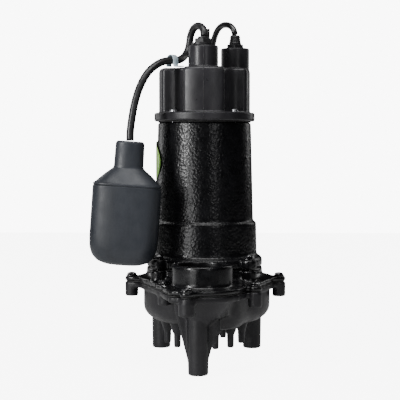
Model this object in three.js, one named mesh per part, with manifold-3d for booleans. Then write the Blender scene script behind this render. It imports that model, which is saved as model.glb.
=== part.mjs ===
// Submersible sump pump with a tethered float switch.
//
// Millimetres, +Z up. The pump stands on three legs at z = 0, its shaft is vertical and its
// discharge faces -Y. The pump is drawn around its own shaft, then one group shifts it so that
// the origin is the middle of its footprint (the loose power cord left out).
import * as THREE from "three";
import { mergeVertices } from "three/addons/utils/BufferGeometryUtils.js";
import Module from "manifold-3d";

const wasm = await Module();
wasm.setup();

// ---------------------------------------------------------------- driving dimensions

// Where the shaft stands in the finished part's frame.
const SHAFT_X = 17.5;
const SHAFT_Y = 39;

const GAP = 0.3; // between two pieces that touch
const FLATNESS = 0.03; // faces this close to one plane are drawn as one
const FINE = 28; // facets round a large turned piece
const MEDIUM = 16;
const COARSE = 8;
const ROUND = 12;

// Heights of the castings, from the floor up.
const PEG_FOOT = 18;
const SKIRT_FOOT = 37;
const BOWL_FOOT = 50;
const BASE_FLANGE_FOOT = 91.4;
const BASE_FLANGE_TOP = 98.8;
const COVER_FOOT = 100.2;
const COVER_FLANGE_TOP = 106;
const COVER_TOP = 119.2;
const HOUSING_FOOT = 120.4;
const HOUSING_FLANGE_TOP = 133;
const BAND_TOP = 178;
const HOUSING_TOP = 305.3;
const CAP_FOOT = 307;
const CAP_FLANGE_TOP = 318;
const CAP_TOP = 375;
const BOSS_TOP = 402;

// Volute, upper and lower castings.
const BOWL_RADIUS = 82;
const BOWL_X = 3;
const FLANGE_RADIUS = 87;
const RING_RADIUS = 75;
const NECK_Y = -114;
const NECK_RADIUS = 36.5;
const NECK_BORE_RADIUS = 29;
const NECK_TOP = 133;
const EYE_RADIUS = 24;
const CHAMBER_RADIUS = 66;
const VOLUTE_BOLTS = [
  [-95, 0],
  [-47, -89],
  [-17, -165],
  [63.5, -105],
  [97, 0],
  [50, 86],
  [-46, 87],
];
const FLANGE_CORNER = [-31, -148];
const VOLUTE_BOLT_RADIUS = 3;
const FRONT_BOLT = 2;

// Motor housing.
const BAND_RADIUS = 67.5;
const BARREL_FOOT_RADIUS = 63.2;
const BARREL_TOP_RADIUS = 60.2;
const MOTOR_BORE_RADIUS = 54.5;
const MOTOR_FLOOR = 158;
const LUG_RADIUS = 9.5;
const LUG_BOLT_CIRCLE = 80.5;
const HOUSING_BOLT_RADIUS = 3.4;
const CORNERS = [225, 315, 45, 135];

// Cap.
const CAP_FLANGE_RADIUS = 65;
const CAP_RADIUS = 59;
const POCKET_RADIUS = 18;
const POCKET_CIRCLE = 62;
const CAP_SCREW_CIRCLE = 54.5;
const CAP_SCREW_RADIUS = 2.5;
const FLOAT_BOSS = [0, -30];
const POWER_BOSS = [39.6, 12];

// Legs.
const FRONT_LEG = [-5, -119];
const REAR_LEGS = [
  [-60.5, 69],
  [63.4, 69],
];
const LEG_RADIUS = 12.2;
const PEG_ANGLES = [-135, -72, -45, 0, 60, 100, 140, 180];
const PEG_CIRCLE = 48;
const PEG_RADIUS = 4.7;

// Shaft.
const SHAFT_RADIUS = 6;
const ROTOR_SEAT_RADIUS = 8;

// Float, hanging from its cord at the front left.
const FLOAT_FOOT = [-100, -80, 128.4];
const FLOAT_TILT = 4;
const FLOAT_RADIUS = 42.3;
const FLOAT_FLATNESS = 0.62;
const FLOAT_SPLIT = 97.5;
const FLOAT_NECK_RADIUS = 17.8;
const FLOAT_CONE_TOP = 121.5;
const FLOAT_HEIGHT = 153;

// Cords.
const FLOAT_CORD_DIAMETER = 9.5;
const POWER_CORD_DIAMETER = 8;
const CLIP = [-40, -35, 383];
const COIL_CENTRE = [0, 265];
const COIL_INNER = 31.6;
const COIL_OUTER = 64.6;
const COIL_FOOT = 1.6;
const COIL_TOP = 18;
const PLUG_X = -18;
const PLUG_FOOT_Y = 250;
const PLUG_AXIS_Z = 31.6;

// ---------------------------------------------------------------- solids

// A closed geometry as a manifold-3d solid.
function solid(geometry) {
  const bare = geometry.clone();
  bare.deleteAttribute("normal");
  bare.deleteAttribute("uv");
  const merged = mergeVertices(bare, 1e-4);
  return new wasm.Manifold(
    new wasm.Mesh({
      numProp: 3,
      vertProperties: new Float32Array(merged.attributes.position.array),
      triVerts: new Uint32Array(merged.index.array),
    }),
  );
}

// A manifold-3d solid as a geometry for a mesh.
function geometryOf(made) {
  const mesh = made.asOriginal().simplify(FLATNESS).getMesh();
  const geometry = new THREE.BufferGeometry();
  const positions = [];
  for (let i = 0; i < mesh.vertProperties.length; i += mesh.numProp) {
    positions.push(mesh.vertProperties[i], mesh.vertProperties[i + 1], mesh.vertProperties[i + 2]);
  }
  geometry.setAttribute("position", new THREE.Float32BufferAttribute(positions, 3));
  geometry.setIndex(new THREE.BufferAttribute(new Uint32Array(mesh.triVerts), 1));
  geometry.computeVertexNormals();
  return geometry;
}

function join(...solids) {
  return solids.reduce((whole, next) => whole.add(next));
}

function cut(from, ...tools) {
  return tools.reduce((left, tool) => left.subtract(tool), from);
}

function moved(made, x, y, z) {
  return made.translate([x, y, z]);
}

// A profile of [radius, height] pairs, counter-clockwise, turned about Z.
function turnedGeometry(profile, facets) {
  const points = profile.map(([radius, height]) => new THREE.Vector2(radius, height));
  return new THREE.LatheGeometry(points, facets).rotateX(Math.PI / 2);
}

function turned(profile, facets = MEDIUM) {
  return solid(turnedGeometry(profile, facets));
}

// A ring whose section is the rectangle from inner to outer radius.
function ring(inner, outer, foot, top, facets = MEDIUM) {
  const section = [
    [inner, foot],
    [outer, foot],
    [outer, top],
    [inner, top],
    [inner, foot],
  ];
  return turned(section, facets);
}

function post(radius, foot, top, x = 0, y = 0, facets = MEDIUM, topRadius = radius) {
  const shape = new THREE.CylinderGeometry(topRadius, radius, top - foot, facets);
  shape.rotateX(Math.PI / 2).translate(x, y, (foot + top) / 2);
  return solid(shape);
}

function block(from, to) {
  const size = to.map((high, i) => high - from[i]);
  const shape = new THREE.BoxGeometry(...size);
  shape.translate(...from.map((low, i) => low + size[i] / 2));
  return solid(shape);
}

// A polygon in plan, extruded upwards.
function slab(points, foot, top) {
  const shape = new THREE.Shape(points.map(([x, y]) => new THREE.Vector2(x, y)));
  const geometry = new THREE.ExtrudeGeometry(shape, { depth: top - foot, bevelEnabled: false });
  return solid(geometry.translate(0, 0, foot));
}

// A polygon of [along, height] pairs, extruded sideways: a fin that runs out from (x, y) at an angle.
function fin(points, thickness, x, y, degrees) {
  const shape = new THREE.Shape(points.map(([along, z]) => new THREE.Vector2(along, z)));
  const geometry = new THREE.ExtrudeGeometry(shape, { depth: thickness, bevelEnabled: false });
  geometry.translate(0, 0, -thickness / 2).rotateX(Math.PI / 2);
  geometry.rotateZ(THREE.MathUtils.degToRad(degrees)).translate(x, y, 0);
  return solid(geometry);
}

function polar(radius, degrees) {
  const angle = THREE.MathUtils.degToRad(degrees);
  return [radius * Math.cos(angle), radius * Math.sin(angle)];
}

function hexagon(acrossFlats, foot, top, x = 0, y = 0) {
  return post(acrossFlats / Math.sqrt(3), foot, top, x, y, 6);
}

function tubeGeometry(route, diameter, steps, sides = 10) {
  const section = new THREE.Shape();
  for (let i = 0; i < sides; i += 1) {
    const [x, y] = polar(diameter / 2, (360 * i) / sides);
    if (i === 0) section.moveTo(x, y);
    else section.lineTo(x, y);
  }
  const path = new THREE.CatmullRomCurve3(route.map((point) => new THREE.Vector3(...point)), false, "centripetal");
  return new THREE.ExtrudeGeometry(section, { steps, extrudePath: path, bevelEnabled: false });
}

// ---------------------------------------------------------------- the scene graph

const pump = new THREE.Group();
pump.position.set(SHAFT_X, SHAFT_Y, 0);

const FINISHES = {
  gloss_black: { color: 0x0b0b0d, roughness: 0.22, metalness: 0.1 },
  satin_black: { color: 0x232226, roughness: 0.5, metalness: 0.1 },
  cap_plastic: { color: 0x3b3a3f, roughness: 0.45, metalness: 0 },
  float_plastic: { color: 0x3a3f49, roughness: 0.4, metalness: 0 },
  black_rubber: { color: 0x1b1b1d, roughness: 0.5, metalness: 0 },
  gloss_cord: { color: 0x0d0d0e, roughness: 0.3, metalness: 0 },
  clear_nylon: { color: 0xe6e9ec, roughness: 0.35, metalness: 0 },
  label_green: { color: 0x7aa63c, roughness: 0.4, metalness: 0 },
  gasket: { color: 0x2a2a2a, roughness: 0.8, metalness: 0 },
  steel: { color: 0x9a9ca0, roughness: 0.3, metalness: 1 },
  bright_steel: { color: 0xc8cacc, roughness: 0.2, metalness: 1 },
  lamination: { color: 0x6c6e73, roughness: 0.45, metalness: 1 },
  copper: { color: 0xb06a3a, roughness: 0.35, metalness: 0.9 },
  brass: { color: 0xc2a14d, roughness: 0.3, metalness: 1 },
  ceramic: { color: 0xe9e4d8, roughness: 0.3, metalness: 0 },
  plain_white: { color: 0xd9d9d6, roughness: 0.5, metalness: 0 },
};

function add(name, made, finish) {
  const geometry = made.isBufferGeometry ? made : geometryOf(made);
  const mesh = new THREE.Mesh(geometry, new THREE.MeshStandardMaterial(FINISHES[finish]));
  mesh.name = name;
  pump.add(mesh);
  return mesh;
}

// ---------------------------------------------------------------- volute

// An ear that carries one bolt: a round end, and a web that widens towards the casting.
function ear([x, y], radius, foot, top) {
  const centre = y < -130 ? [0, NECK_Y] : [BOWL_X, 0];
  const out = new THREE.Vector2(x - centre[0], y - centre[1]);
  const reach = out.length();
  const along = out.clone().normalize();
  const across = new THREE.Vector2(-along.y, along.x);
  const at = (distance, side) => [
    centre[0] + along.x * distance + across.x * side,
    centre[1] + along.y * distance + across.y * side,
  ];
  const root = reach - 3.2 * radius;
  const web = slab(
    [at(root, -2.6 * radius), at(reach, -radius), at(reach, radius), at(root, 2.6 * radius)],
    foot,
    top,
  );
  return join(web, post(radius, foot, top, x, y, ROUND));
}

// The snail-shaped flange that both castings share.
function flangePlate(foot, top, earRadius) {
  const body = post(FLANGE_RADIUS, foot, top, BOWL_X, 0, FINE);
  const mouth = post(NECK_RADIUS + 10, foot, top, 0, NECK_Y, MEDIUM);
  const shoulders = slab([[-70, -52], [-40, -135], [42, -135], [78, -50]], foot, top);
  const corner = post(8.5, foot, top, ...FLANGE_CORNER, ROUND);
  return join(body, mouth, shoulders, corner, ...VOLUTE_BOLTS.map((bolt) => ear(bolt, earRadius, foot, top)));
}

function boltHoles(radius, foot, top) {
  return VOLUTE_BOLTS.map(([x, y]) => post(radius, foot, top, x, y, COARSE));
}

// The space that the impeller turns in, and the passage from it to the discharge.
function voluteSpace(foot, top, wellFoot, ductFoot, wellRadius, wellTopRadius) {
  return join(
    post(CHAMBER_RADIUS, foot, top, 0, 0, FINE),
    post(26, foot + 3, top, 14, -66, MEDIUM),
    post(wellRadius, wellFoot, top, 0, NECK_Y + 4, MEDIUM, wellTopRadius),
    slab([[-20, -60], [-19, -104], [22, -104], [34, -66]], ductFoot, top),
  );
}

function voluteBase() {
  const bowl = turned(
    [
      [0, BOWL_FOOT],
      [62, BOWL_FOOT],
      [71, 53],
      [78.5, 59],
      [BOWL_RADIUS, 68],
      [BOWL_RADIUS, 92],
      [0, 92],
    ],
    FINE,
  );
  const scroll = turned(
    [
      [0, BOWL_FOOT],
      [26, BOWL_FOOT],
      [31, 53],
      [33, 58],
      [33, 92],
      [0, 92],
    ],
    MEDIUM,
  );
  const passage = turned(
    [
      [0, 57],
      [10, 57.6],
      [18, 61],
      [26, 70],
      [32, 80],
      [36.5, 92],
      [0, 92],
    ],
    MEDIUM,
  );
  const duct = slab([[-30, -60], [-28, -108], [30, -108], [44, -62]], 70, 92);
  const bosses = VOLUTE_BOLTS.map(([x, y], i) =>
    i === FRONT_BOLT ? post(10, 77, 92, x, y + 2, ROUND) : post(7, 81, 92, x, y, 10),
  );
  const frontLeg = join(
    post(LEG_RADIUS, 0, 78, ...FRONT_LEG, 14, 13.4),
    fin([[-30, 92], [-29, 80], [-11, 10], [0, 10], [0, 92]], 5, ...FRONT_LEG, 0),
    fin([[0, 10], [11, 14], [18, 38], [22, 38], [22, 50], [27, 50], [27, 66], [0, 66]], 5, ...FRONT_LEG, 0),
    fin([[0, 14], [12, 20], [30, 52], [30, 66], [0, 66]], 6, ...FRONT_LEG, 90),
  );
  const rearLegs = REAR_LEGS.flatMap(([x, y]) => [
    post(LEG_RADIUS, 0, 60, x, y, 14, 13),
    fin([[0, 34], [14, 34], [26, 44], [26, 60], [0, 60]], 5, x, y, x < 0 ? 0 : 180),
    fin([[0, 12], [9, 12], [22, 40], [22, 60], [0, 60]], 5, x, y, x < 0 ? -60 : -120),
  ]);
  const skirt = ring(EYE_RADIUS + 2, 34, SKIRT_FOOT + 6, BOWL_FOOT + 2, MEDIUM);
  const pegs = PEG_ANGLES.flatMap((degrees) => {
    const [x, y] = polar(PEG_CIRCLE, degrees);
    return [
      post(PEG_RADIUS - 0.3, PEG_FOOT, BOWL_FOOT + 3, x, y, COARSE, PEG_RADIUS + 0.5),
      post(PEG_RADIUS + 1.5, SKIRT_FOOT, BOWL_FOOT + 3, x, y, COARSE, PEG_RADIUS + 6),
    ];
  });
  const whole = join(
    moved(bowl, BOWL_X, 0, 0),
    moved(scroll, 16, -70, 0),
    moved(passage, 0, NECK_Y + 4, 0),
    duct,
    flangePlate(BASE_FLANGE_FOOT, BASE_FLANGE_TOP, 7),
    ...bosses,
    frontLeg,
    ...rearLegs,
    skirt,
    ...pegs,
  );
  return cut(
    whole,
    voluteSpace(57, BASE_FLANGE_TOP + 1, 68, 76, 14, 31),
    post(EYE_RADIUS, 30, 60),
    ...boltHoles(VOLUTE_BOLT_RADIUS + 0.3, 70, BASE_FLANGE_TOP + 1),
  );
}

function voluteGasket() {
  const foot = BASE_FLANGE_TOP + GAP;
  const top = COVER_FOOT - GAP;
  return cut(
    flangePlate(foot, top, 7),
    voluteSpace(foot - 1, top + 1, foot - 1, foot - 1, NECK_BORE_RADIUS, NECK_BORE_RADIUS),
    ...boltHoles(VOLUTE_BOLT_RADIUS + 0.4, foot - 1, top + 1),
  );
}

function lugPosts(radius, foot, top) {
  return CORNERS.map((degrees) => post(radius, foot, top, ...polar(LUG_BOLT_CIRCLE, degrees), ROUND));
}

function voluteCover() {
  const bell = turned(
    [
      [0, COVER_FOOT],
      [84, COVER_FOOT],
      [84, COVER_FLANGE_TOP],
      [77.5, 109],
      [RING_RADIUS, 112],
      [RING_RADIUS, COVER_TOP],
      [0, COVER_TOP],
    ],
    FINE,
  );
  const neck = turned(
    [
      [0, COVER_FOOT],
      [NECK_RADIUS + 4, COVER_FOOT],
      [NECK_RADIUS + 4, COVER_FLANGE_TOP],
      [NECK_RADIUS, COVER_FLANGE_TOP + 3.5],
      [NECK_RADIUS, NECK_TOP - 1.2],
      [NECK_RADIUS - 1.2, NECK_TOP],
      [0, NECK_TOP],
    ],
    MEDIUM + 8,
  );
  const bridge = block([-31, -92, COVER_FOOT], [31, -55, 117]);
  const whole = join(
    flangePlate(COVER_FOOT, COVER_FLANGE_TOP, 8),
    bell,
    moved(neck, 0, NECK_Y, 0),
    bridge,
    ...lugPosts(LUG_RADIUS, COVER_FOOT, COVER_TOP),
  );
  return cut(
    whole,
    post(NECK_BORE_RADIUS, COVER_FOOT - 1, NECK_TOP + 1, 0, NECK_Y, MEDIUM + 8),
    post(16, COVER_FOOT - 1, 103),
    post(20, 101.7, COVER_TOP + 1),
    ring(26, 60, 108, COVER_TOP + 1, FINE),
    ...boltHoles(VOLUTE_BOLT_RADIUS + 0.4, COVER_FOOT - 1, COVER_FLANGE_TOP + 12),
    ...lugPosts(HOUSING_BOLT_RADIUS + 0.4, COVER_FLANGE_TOP + 0.5, COVER_TOP + 1),
  );
}

function volutePieces() {
  add("volute_base", voluteBase(), "satin_black");
  add("volute_gasket", voluteGasket(), "gasket");
  add("volute_cover", voluteCover(), "gloss_black");
  VOLUTE_BOLTS.forEach(([x, y], i) => {
    const head = COVER_FLANGE_TOP + GAP;
    const bolt = join(
      post(7.2, head, head + 1.2, x, y, ROUND),
      hexagon(10, head, head + 4.8, x, y),
      post(VOLUTE_BOLT_RADIUS, 82, head + 1, x, y, COARSE),
    );
    add(`volute_bolt_${i + 1}`, bolt, "gloss_black");
  });
}

// ---------------------------------------------------------------- motor housing

function motorHousing() {
  const outside = turned(
    [
      [0, HOUSING_FOOT],
      [RING_RADIUS, HOUSING_FOOT],
      [RING_RADIUS, 129.5],
      [73, 133.5],
      [BAND_RADIUS + 0.5, 136],
      [BAND_RADIUS - 0.3, BAND_TOP - 1],
      [BAND_RADIUS - 1.3, BAND_TOP],
      [BARREL_FOOT_RADIUS, BAND_TOP + 0.8],
      [BARREL_TOP_RADIUS, HOUSING_TOP],
      [0, HOUSING_TOP],
    ],
    FINE,
  );
  const inside = turned(
    [
      [0, HOUSING_FOOT - 1],
      [18, HOUSING_FOOT - 1],
      [18, 130],
      [13.5, 130],
      [13.5, 134],
      [16.3, 134],
      [16.3, MOTOR_FLOOR],
      [MOTOR_BORE_RADIUS, MOTOR_FLOOR],
      [MOTOR_BORE_RADIUS, HOUSING_TOP + 1],
      [0, HOUSING_TOP + 1],
    ],
    FINE,
  );
  const screwPosts = CORNERS.map((degrees) => {
    const [x, y] = polar(52, degrees);
    return post(7, 285, HOUSING_TOP, x, y, ROUND);
  });
  const screwHoles = CORNERS.map((degrees) => {
    const [x, y] = polar(CAP_SCREW_CIRCLE, degrees);
    return post(CAP_SCREW_RADIUS + 0.3, 288, HOUSING_TOP + 1, x, y, COARSE);
  });
  const shell = cut(
    join(outside, ...lugPosts(LUG_RADIUS, HOUSING_FOOT, HOUSING_FLANGE_TOP)),
    inside,
    ring(26, 58, HOUSING_FOOT - 1, 148, FINE),
    ...lugPosts(HOUSING_BOLT_RADIUS + 0.4, HOUSING_FOOT - 1, HOUSING_FLANGE_TOP + 1),
  );
  return cut(join(shell, ...screwPosts), ...screwHoles);
}

function housingPieces() {
  add("housing_gasket", ring(62, 74, COVER_TOP + GAP, HOUSING_FOOT - GAP, FINE), "gasket");
  add("motor_housing", motorHousing(), "gloss_black");
  CORNERS.forEach((degrees, i) => {
    const [x, y] = polar(LUG_BOLT_CIRCLE, degrees);
    const head = HOUSING_FLANGE_TOP + GAP;
    const bolt = join(
      post(8, head, head + 1.4, x, y, ROUND),
      hexagon(12, head, head + 6, x, y),
      post(HOUSING_BOLT_RADIUS, 109, head + 1, x, y, COARSE),
    );
    add(`housing_bolt_${i + 1}`, bolt, "gloss_black");
  });
}

// An oval information plate, left blank, bent round the left of the barrel.
function label() {
  const inner = 62.6;
  const shell = ring(inner, inner + 0.5, 224, 286, 48);
  const oval = new THREE.CylinderGeometry(1, 1, 60, 20).rotateX(Math.PI / 2);
  oval.rotateY(Math.PI / 2).scale(1, 43, 27.5);
  oval.translate(-60, 14, 254);
  add("label", shell.intersect(solid(oval)), "label_green");
}

// ---------------------------------------------------------------- cap and glands

function topCap() {
  const body = turned(
    [
      [0, CAP_FOOT],
      [CAP_FLANGE_RADIUS, CAP_FOOT],
      [CAP_FLANGE_RADIUS, CAP_FLANGE_TOP],
      [CAP_RADIUS, CAP_FLANGE_TOP],
      [CAP_RADIUS, CAP_TOP - 4],
      [CAP_RADIUS - 1.3, CAP_TOP - 1.2],
      [CAP_RADIUS - 4, CAP_TOP],
      [0, CAP_TOP],
    ],
    FINE,
  );
  const bosses = [
    post(19, CAP_TOP - 4, BOSS_TOP, ...FLOAT_BOSS, MEDIUM),
    post(18.5, CAP_FLANGE_TOP, BOSS_TOP, ...POWER_BOSS, MEDIUM),
  ];
  const pocket = (radius, foot, top) =>
    CORNERS.map((degrees) => post(radius, foot, top, ...polar(POCKET_CIRCLE, degrees), MEDIUM));
  const hollow = cut(
    post(54, CAP_FOOT - 1, 369, 0, 0, FINE),
    ...pocket(POCKET_RADIUS + 4, CAP_FOOT - 2, 370),
  );
  const screwHoles = CORNERS.map((degrees) =>
    post(CAP_SCREW_RADIUS + 0.4, CAP_FOOT - 1, CAP_FLANGE_TOP + 1, ...polar(CAP_SCREW_CIRCLE, degrees), COARSE),
  );
  const rearBoss = post(18.5, CAP_FLANGE_TOP, CAP_TOP, ...POWER_BOSS, MEDIUM);
  return cut(
    join(cut(join(body, ...bosses), ...pocket(POCKET_RADIUS, CAP_FLANGE_TOP, BOSS_TOP + 1)), rearBoss),
    hollow,
    ...screwHoles,
    post(6, 360, BOSS_TOP + 1, ...FLOAT_BOSS, ROUND),
    post(5, 360, BOSS_TOP + 1, ...POWER_BOSS, ROUND),
  );
}

function capPieces() {
  const gasket = cut(
    ring(46, 60, HOUSING_TOP + GAP, CAP_FOOT - GAP, FINE),
    ...CORNERS.map((degrees) =>
      post(CAP_SCREW_RADIUS + 0.5, HOUSING_TOP, CAP_FOOT, ...polar(CAP_SCREW_CIRCLE, degrees), COARSE),
    ),
  );
  add("cap_gasket", gasket, "gasket");
  add("top_cap", topCap(), "cap_plastic");
  CORNERS.forEach((degrees, i) => {
    const [x, y] = polar(CAP_SCREW_CIRCLE, degrees);
    const head = CAP_FLANGE_TOP + GAP;
    const screw = join(
      post(4.6, head, head + 3.4, x, y, ROUND, 3.8),
      post(CAP_SCREW_RADIUS, 290, head + 1, x, y, COARSE),
    );
    add(`cap_screw_${i + 1}`, screw, "steel");
  });
}

function glandPieces() {
  const [fx, fy] = FLOAT_BOSS;
  const [px, py] = POWER_BOSS;
  const nutTop = 411;
  const floatNut = cut(
    join(hexagon(21, BOSS_TOP + GAP, nutTop, fx, fy), post(13, BOSS_TOP + GAP, BOSS_TOP + 3.5, fx - 2, fy, ROUND)),
    post(5.2, BOSS_TOP - 1, nutTop + 1, fx, fy, ROUND),
  );
  const relief = cut(
    join(
      post(7, nutTop + GAP, nutTop + 2.6, fx, fy, ROUND, 6.6),
      block([fx + 3.6, fy + 5.2, nutTop + GAP], [fx + 8.2, fy + 7.8, 424]),
    ),
    post(5.2, nutTop - 1, nutTop + 3, fx, fy, ROUND, 5.5),
  );
  const powerFlange = cut(
    hexagon(21, BOSS_TOP + GAP, BOSS_TOP + 5, px, py),
    post(5, BOSS_TOP - 1, BOSS_TOP + 6, px, py, ROUND),
  );
  const powerNut = cut(
    post(8, BOSS_TOP + 5.3, 419, px, py, ROUND, 6.6),
    post(4.7, BOSS_TOP + 4, 420, px, py, ROUND, 5.2),
  );
  add("float_gland_nut", floatNut, "satin_black");
  add("float_gland_relief", relief, "satin_black");
  add("power_gland_flange", powerFlange, "satin_black");
  add("power_gland_nut", powerNut, "satin_black");
}

// ---------------------------------------------------------------- rotating parts

function impeller() {
  const hub = turned(
    [
      [0, 67],
      [11, 67],
      [13, 74],
      [14, 89],
      [52, 89.5],
      [52, 94],
      [14, 95],
      [0, 95],
    ],
    MEDIUM,
  );
  const vanes = [];
  for (let i = 0; i < 6; i += 1) {
    const shape = new THREE.Shape();
    shape.absarc(30, 0, 26, Math.PI * 0.52, Math.PI * 1.02, false);
    shape.absarc(30, 0, 22.5, Math.PI * 1.02, Math.PI * 0.52, true);
    const blade = new THREE.ExtrudeGeometry(shape, { depth: 21, bevelEnabled: false, curveSegments: 4 });
    blade.translate(4, 12, 70).rotateZ((i * Math.PI) / 3);
    vanes.push(solid(blade));
  }
  return cut(join(hub, ...vanes), post(SHAFT_RADIUS + GAP, 60, 100));
}

function rotatingPieces() {
  const shaft = turned([
    [0, 59],
    [4.8, 59],
    [4.8, 67.5],
    [SHAFT_RADIUS, 67.5],
    [SHAFT_RADIUS, 129.8],
    [12, 129.8],
    [12, 132.6],
    [SHAFT_RADIUS, 132.6],
    [SHAFT_RADIUS, 152],
    [ROTOR_SEAT_RADIUS, 152],
    [ROTOR_SEAT_RADIUS, 276],
    [SHAFT_RADIUS, 276],
    [SHAFT_RADIUS, 290],
    [0, 290],
  ]);
  add("shaft", shaft, "bright_steel");
  add("rotor_core", ring(ROTOR_SEAT_RADIUS + GAP, 27.4, 178, 257, MEDIUM), "lamination");
  add("impeller", impeller(), "satin_black");
  const nut = cut(hexagon(17, 60, 66.7), post(5.1, 59, 68, 0, 0, ROUND));
  add("impeller_nut", nut, "steel");
  add("seal_rotating_face", ring(SHAFT_RADIUS + GAP, 14, 108.4, 113), "gasket");
  const turns = 4;
  const coil = [];
  for (let i = 0; i <= turns * 8; i += 1) {
    const [x, y] = polar(9.6, i * 45);
    coil.push([x, y, 114.6 + (13.2 * i) / (turns * 8)]);
  }
  add("seal_spring", tubeGeometry(coil, 1.8, turns * 9, 5), "bright_steel");
  add("lower_bearing_inner", ring(SHAFT_RADIUS + GAP, 9.4, 134.4, 144), "bright_steel");
  add("upper_bearing_inner", ring(SHAFT_RADIUS + GAP, 9, 279, 287.5), "bright_steel");
}

// ---------------------------------------------------------------- fixed parts inside

function innerPieces() {
  const seat = join(
    ring(8.4, 19.7, 103.3, 106.5),
    ring(8.4, 14, 103.3, 108.1),
  );
  add("seal_stationary_seat", seat, "ceramic");
  add("lower_bearing_outer", ring(12.4, 16, 134.3, 144), "bright_steel");
  add("upper_bearing_outer", ring(11.8, 15, 279, 287.5), "bright_steel");
  const carrier = turned([
    [11.5, 277],
    [53.6, 277],
    [53.6, 283],
    [22, 284.7],
    [20, 290],
    [15.3, 290],
    [15.3, 278.7],
    [11.5, 278.7],
    [11.5, 277],
  ]);
  add("upper_bearing_carrier", carrier, "satin_black");
  add("stator_core", ring(28.2, 53.6, 180, 255, MEDIUM), "lamination");
  const winding = (foot, top) =>
    turned([
      [33, foot],
      [49, foot],
      [52, (foot + top) / 2],
      [48, top],
      [34, top],
      [31, (foot + top) / 2],
      [33, foot],
    ]);
  add("stator_winding_lower", winding(160, 179.6), "copper");
  add("stator_winding_upper", winding(255.4, 275), "copper");
  add("capacitor", post(16, 312.5, 362, -20, 12, MEDIUM), "plain_white");
}

// ---------------------------------------------------------------- float switch

// The float's outline, from the middle of its foot up: half width against height.
const FLOAT_SIDE = [
  [0, 0],
  [21, 0.6],
  [32, 4.5],
  [38.6, 11.5],
  [41.6, 21],
  [FLOAT_RADIUS, 34],
  [FLOAT_RADIUS, FLOAT_SPLIT - 4],
  [FLOAT_RADIUS - 1.2, FLOAT_SPLIT],
];
const FLOAT_SHOULDER = [
  [FLOAT_RADIUS - 1.2, FLOAT_SPLIT],
  [39.4, 99.8],
  [16.5, FLOAT_CONE_TOP],
  [0, FLOAT_CONE_TOP],
];
const FLOAT_WALL = 2.6;

// Stands a piece drawn in the float's own frame where the float hangs.
function hang(made) {
  return made.rotate([0, FLOAT_TILT, 0]).translate(FLOAT_FOOT);
}

function squashed(profile) {
  return turned(profile, MEDIUM + 4).scale([1, FLOAT_FLATNESS, 1]);
}

function floatPieces() {
  const split = FLOAT_SPLIT - 0.2;
  const outer = squashed([...FLOAT_SIDE, ...FLOAT_SHOULDER.slice(1)]);
  const inner = squashed(
    [...FLOAT_SIDE, ...FLOAT_SHOULDER.slice(1)].map(([radius, height]) => [
      (radius * (FLOAT_RADIUS - FLOAT_WALL * 1.6)) / FLOAT_RADIUS,
      FLOAT_WALL + (height * (FLOAT_CONE_TOP - 2 * FLOAT_WALL)) / FLOAT_CONE_TOP,
    ]),
  );
  const below = block([-60, -60, -10], [60, 60, split]);
  const above = block([-60, -60, split + GAP], [60, 60, 170]);
  const neck = turned(
    [
      [0, 112],
      [FLOAT_NECK_RADIUS + 0.6, 112],
      [FLOAT_NECK_RADIUS, FLOAT_HEIGHT - 3],
      [FLOAT_NECK_RADIUS - 3, FLOAT_HEIGHT],
      [0, FLOAT_HEIGHT],
    ],
    MEDIUM,
  );
  const body = cut(outer.intersect(below), inner);
  const top = cut(join(outer, neck).intersect(above), inner, post(5.2, 100, FLOAT_HEIGHT + 1, 0, 0, ROUND));
  add("float_body", hang(body), "float_plastic");
  add("float_top", hang(top), "float_plastic");
  const chamber = post(6.2, 44, 84.4, 0, 0, ROUND);
  const switchCase = cut(block([-13, -9, 40], [13, 9, 88]), chamber, post(2, 80, 95, 0, 0, COARSE));
  add("float_switch_case", hang(switchCase), "plain_white");
  const ball = solid(new THREE.SphereGeometry(5.5, 10, 7).translate(0, 0, 50.2));
  add("float_ball", hang(ball), "bright_steel");
}

// ---------------------------------------------------------------- cords

// From the gland up and over, then down beside the boss to the clip on the cap.
const FLOAT_CORD_UPPER = [
  [0.3, -29.6, 414],
  [-0.1, -28.4, 419],
  [-1.4, -25.6, 423.4],
  [-4.3, -21.3, 426.9],
  [-8.5, -15, 428.5],
  [-12.7, -8.7, 426.9],
  [-16.2, -3.5, 422.2],
  [-18.4, -0.5, 415.5],
  [-19.5, -0.4, 407.5],
  [-21.5, -2.8, 398.5],
  [-25.2, -9.4, 391],
  [-28.4, -17.6, 387],
  [-31.6, -25, 384.6],
  [-35.6, -31.1, 383.5],
  [-40, -35, 383],
  [-47.35, -41.47, 381.9],
];

// From the clip over the cap's edge and down to the float's neck.
const FLOAT_CORD_LOWER = [
  [-48.25, -42.26, 381.7],
  [-54, -47.4, 379.4],
  [-61, -53.6, 374.6],
  [-68.3, -60.2, 367],
  [-75, -66, 355.8],
  [-81, -71, 340.5],
  [-85.1, -74.8, 324],
  [-87.9, -77.6, 306.9],
  [-89.6, -79.4, 292],
  [-89.7, -80, 281.7],
];

// From the gland over the back of the cap, down behind the pump and along the floor.
const POWER_CORD = [
  [39.3, 12.3, 420.4],
  [37.4, 14.3, 427.3],
  [32.6, 19.5, 432.6],
  [25.6, 27.5, 434.5],
  [20, 34.4, 432.6],
  [15.6, 41, 427.6],
  [12, 48, 419],
  [9.3, 56, 407.5],
  [6.4, 65, 392.5],
  [3.4, 73.4, 375],
  [1, 80.5, 354],
  [-1, 86, 328],
  [-2.2, 90, 290],
  [-3, 93, 240],
  [-3, 95, 180],
  [-3, 95.6, 120],
  [-3, 96.5, 76],
  [-3, 100, 46],
  [-3, 108, 23],
  [-3.4, 121, 9],
  [-5, 138, 4.5],
  [-9.5, 156, 4.3],
  [-18, 174, 4.3],
  [-29, 191, 4.4],
  [-38, 203.5, 4.5],
  [-46.2, 214, 4.9],
];

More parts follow.
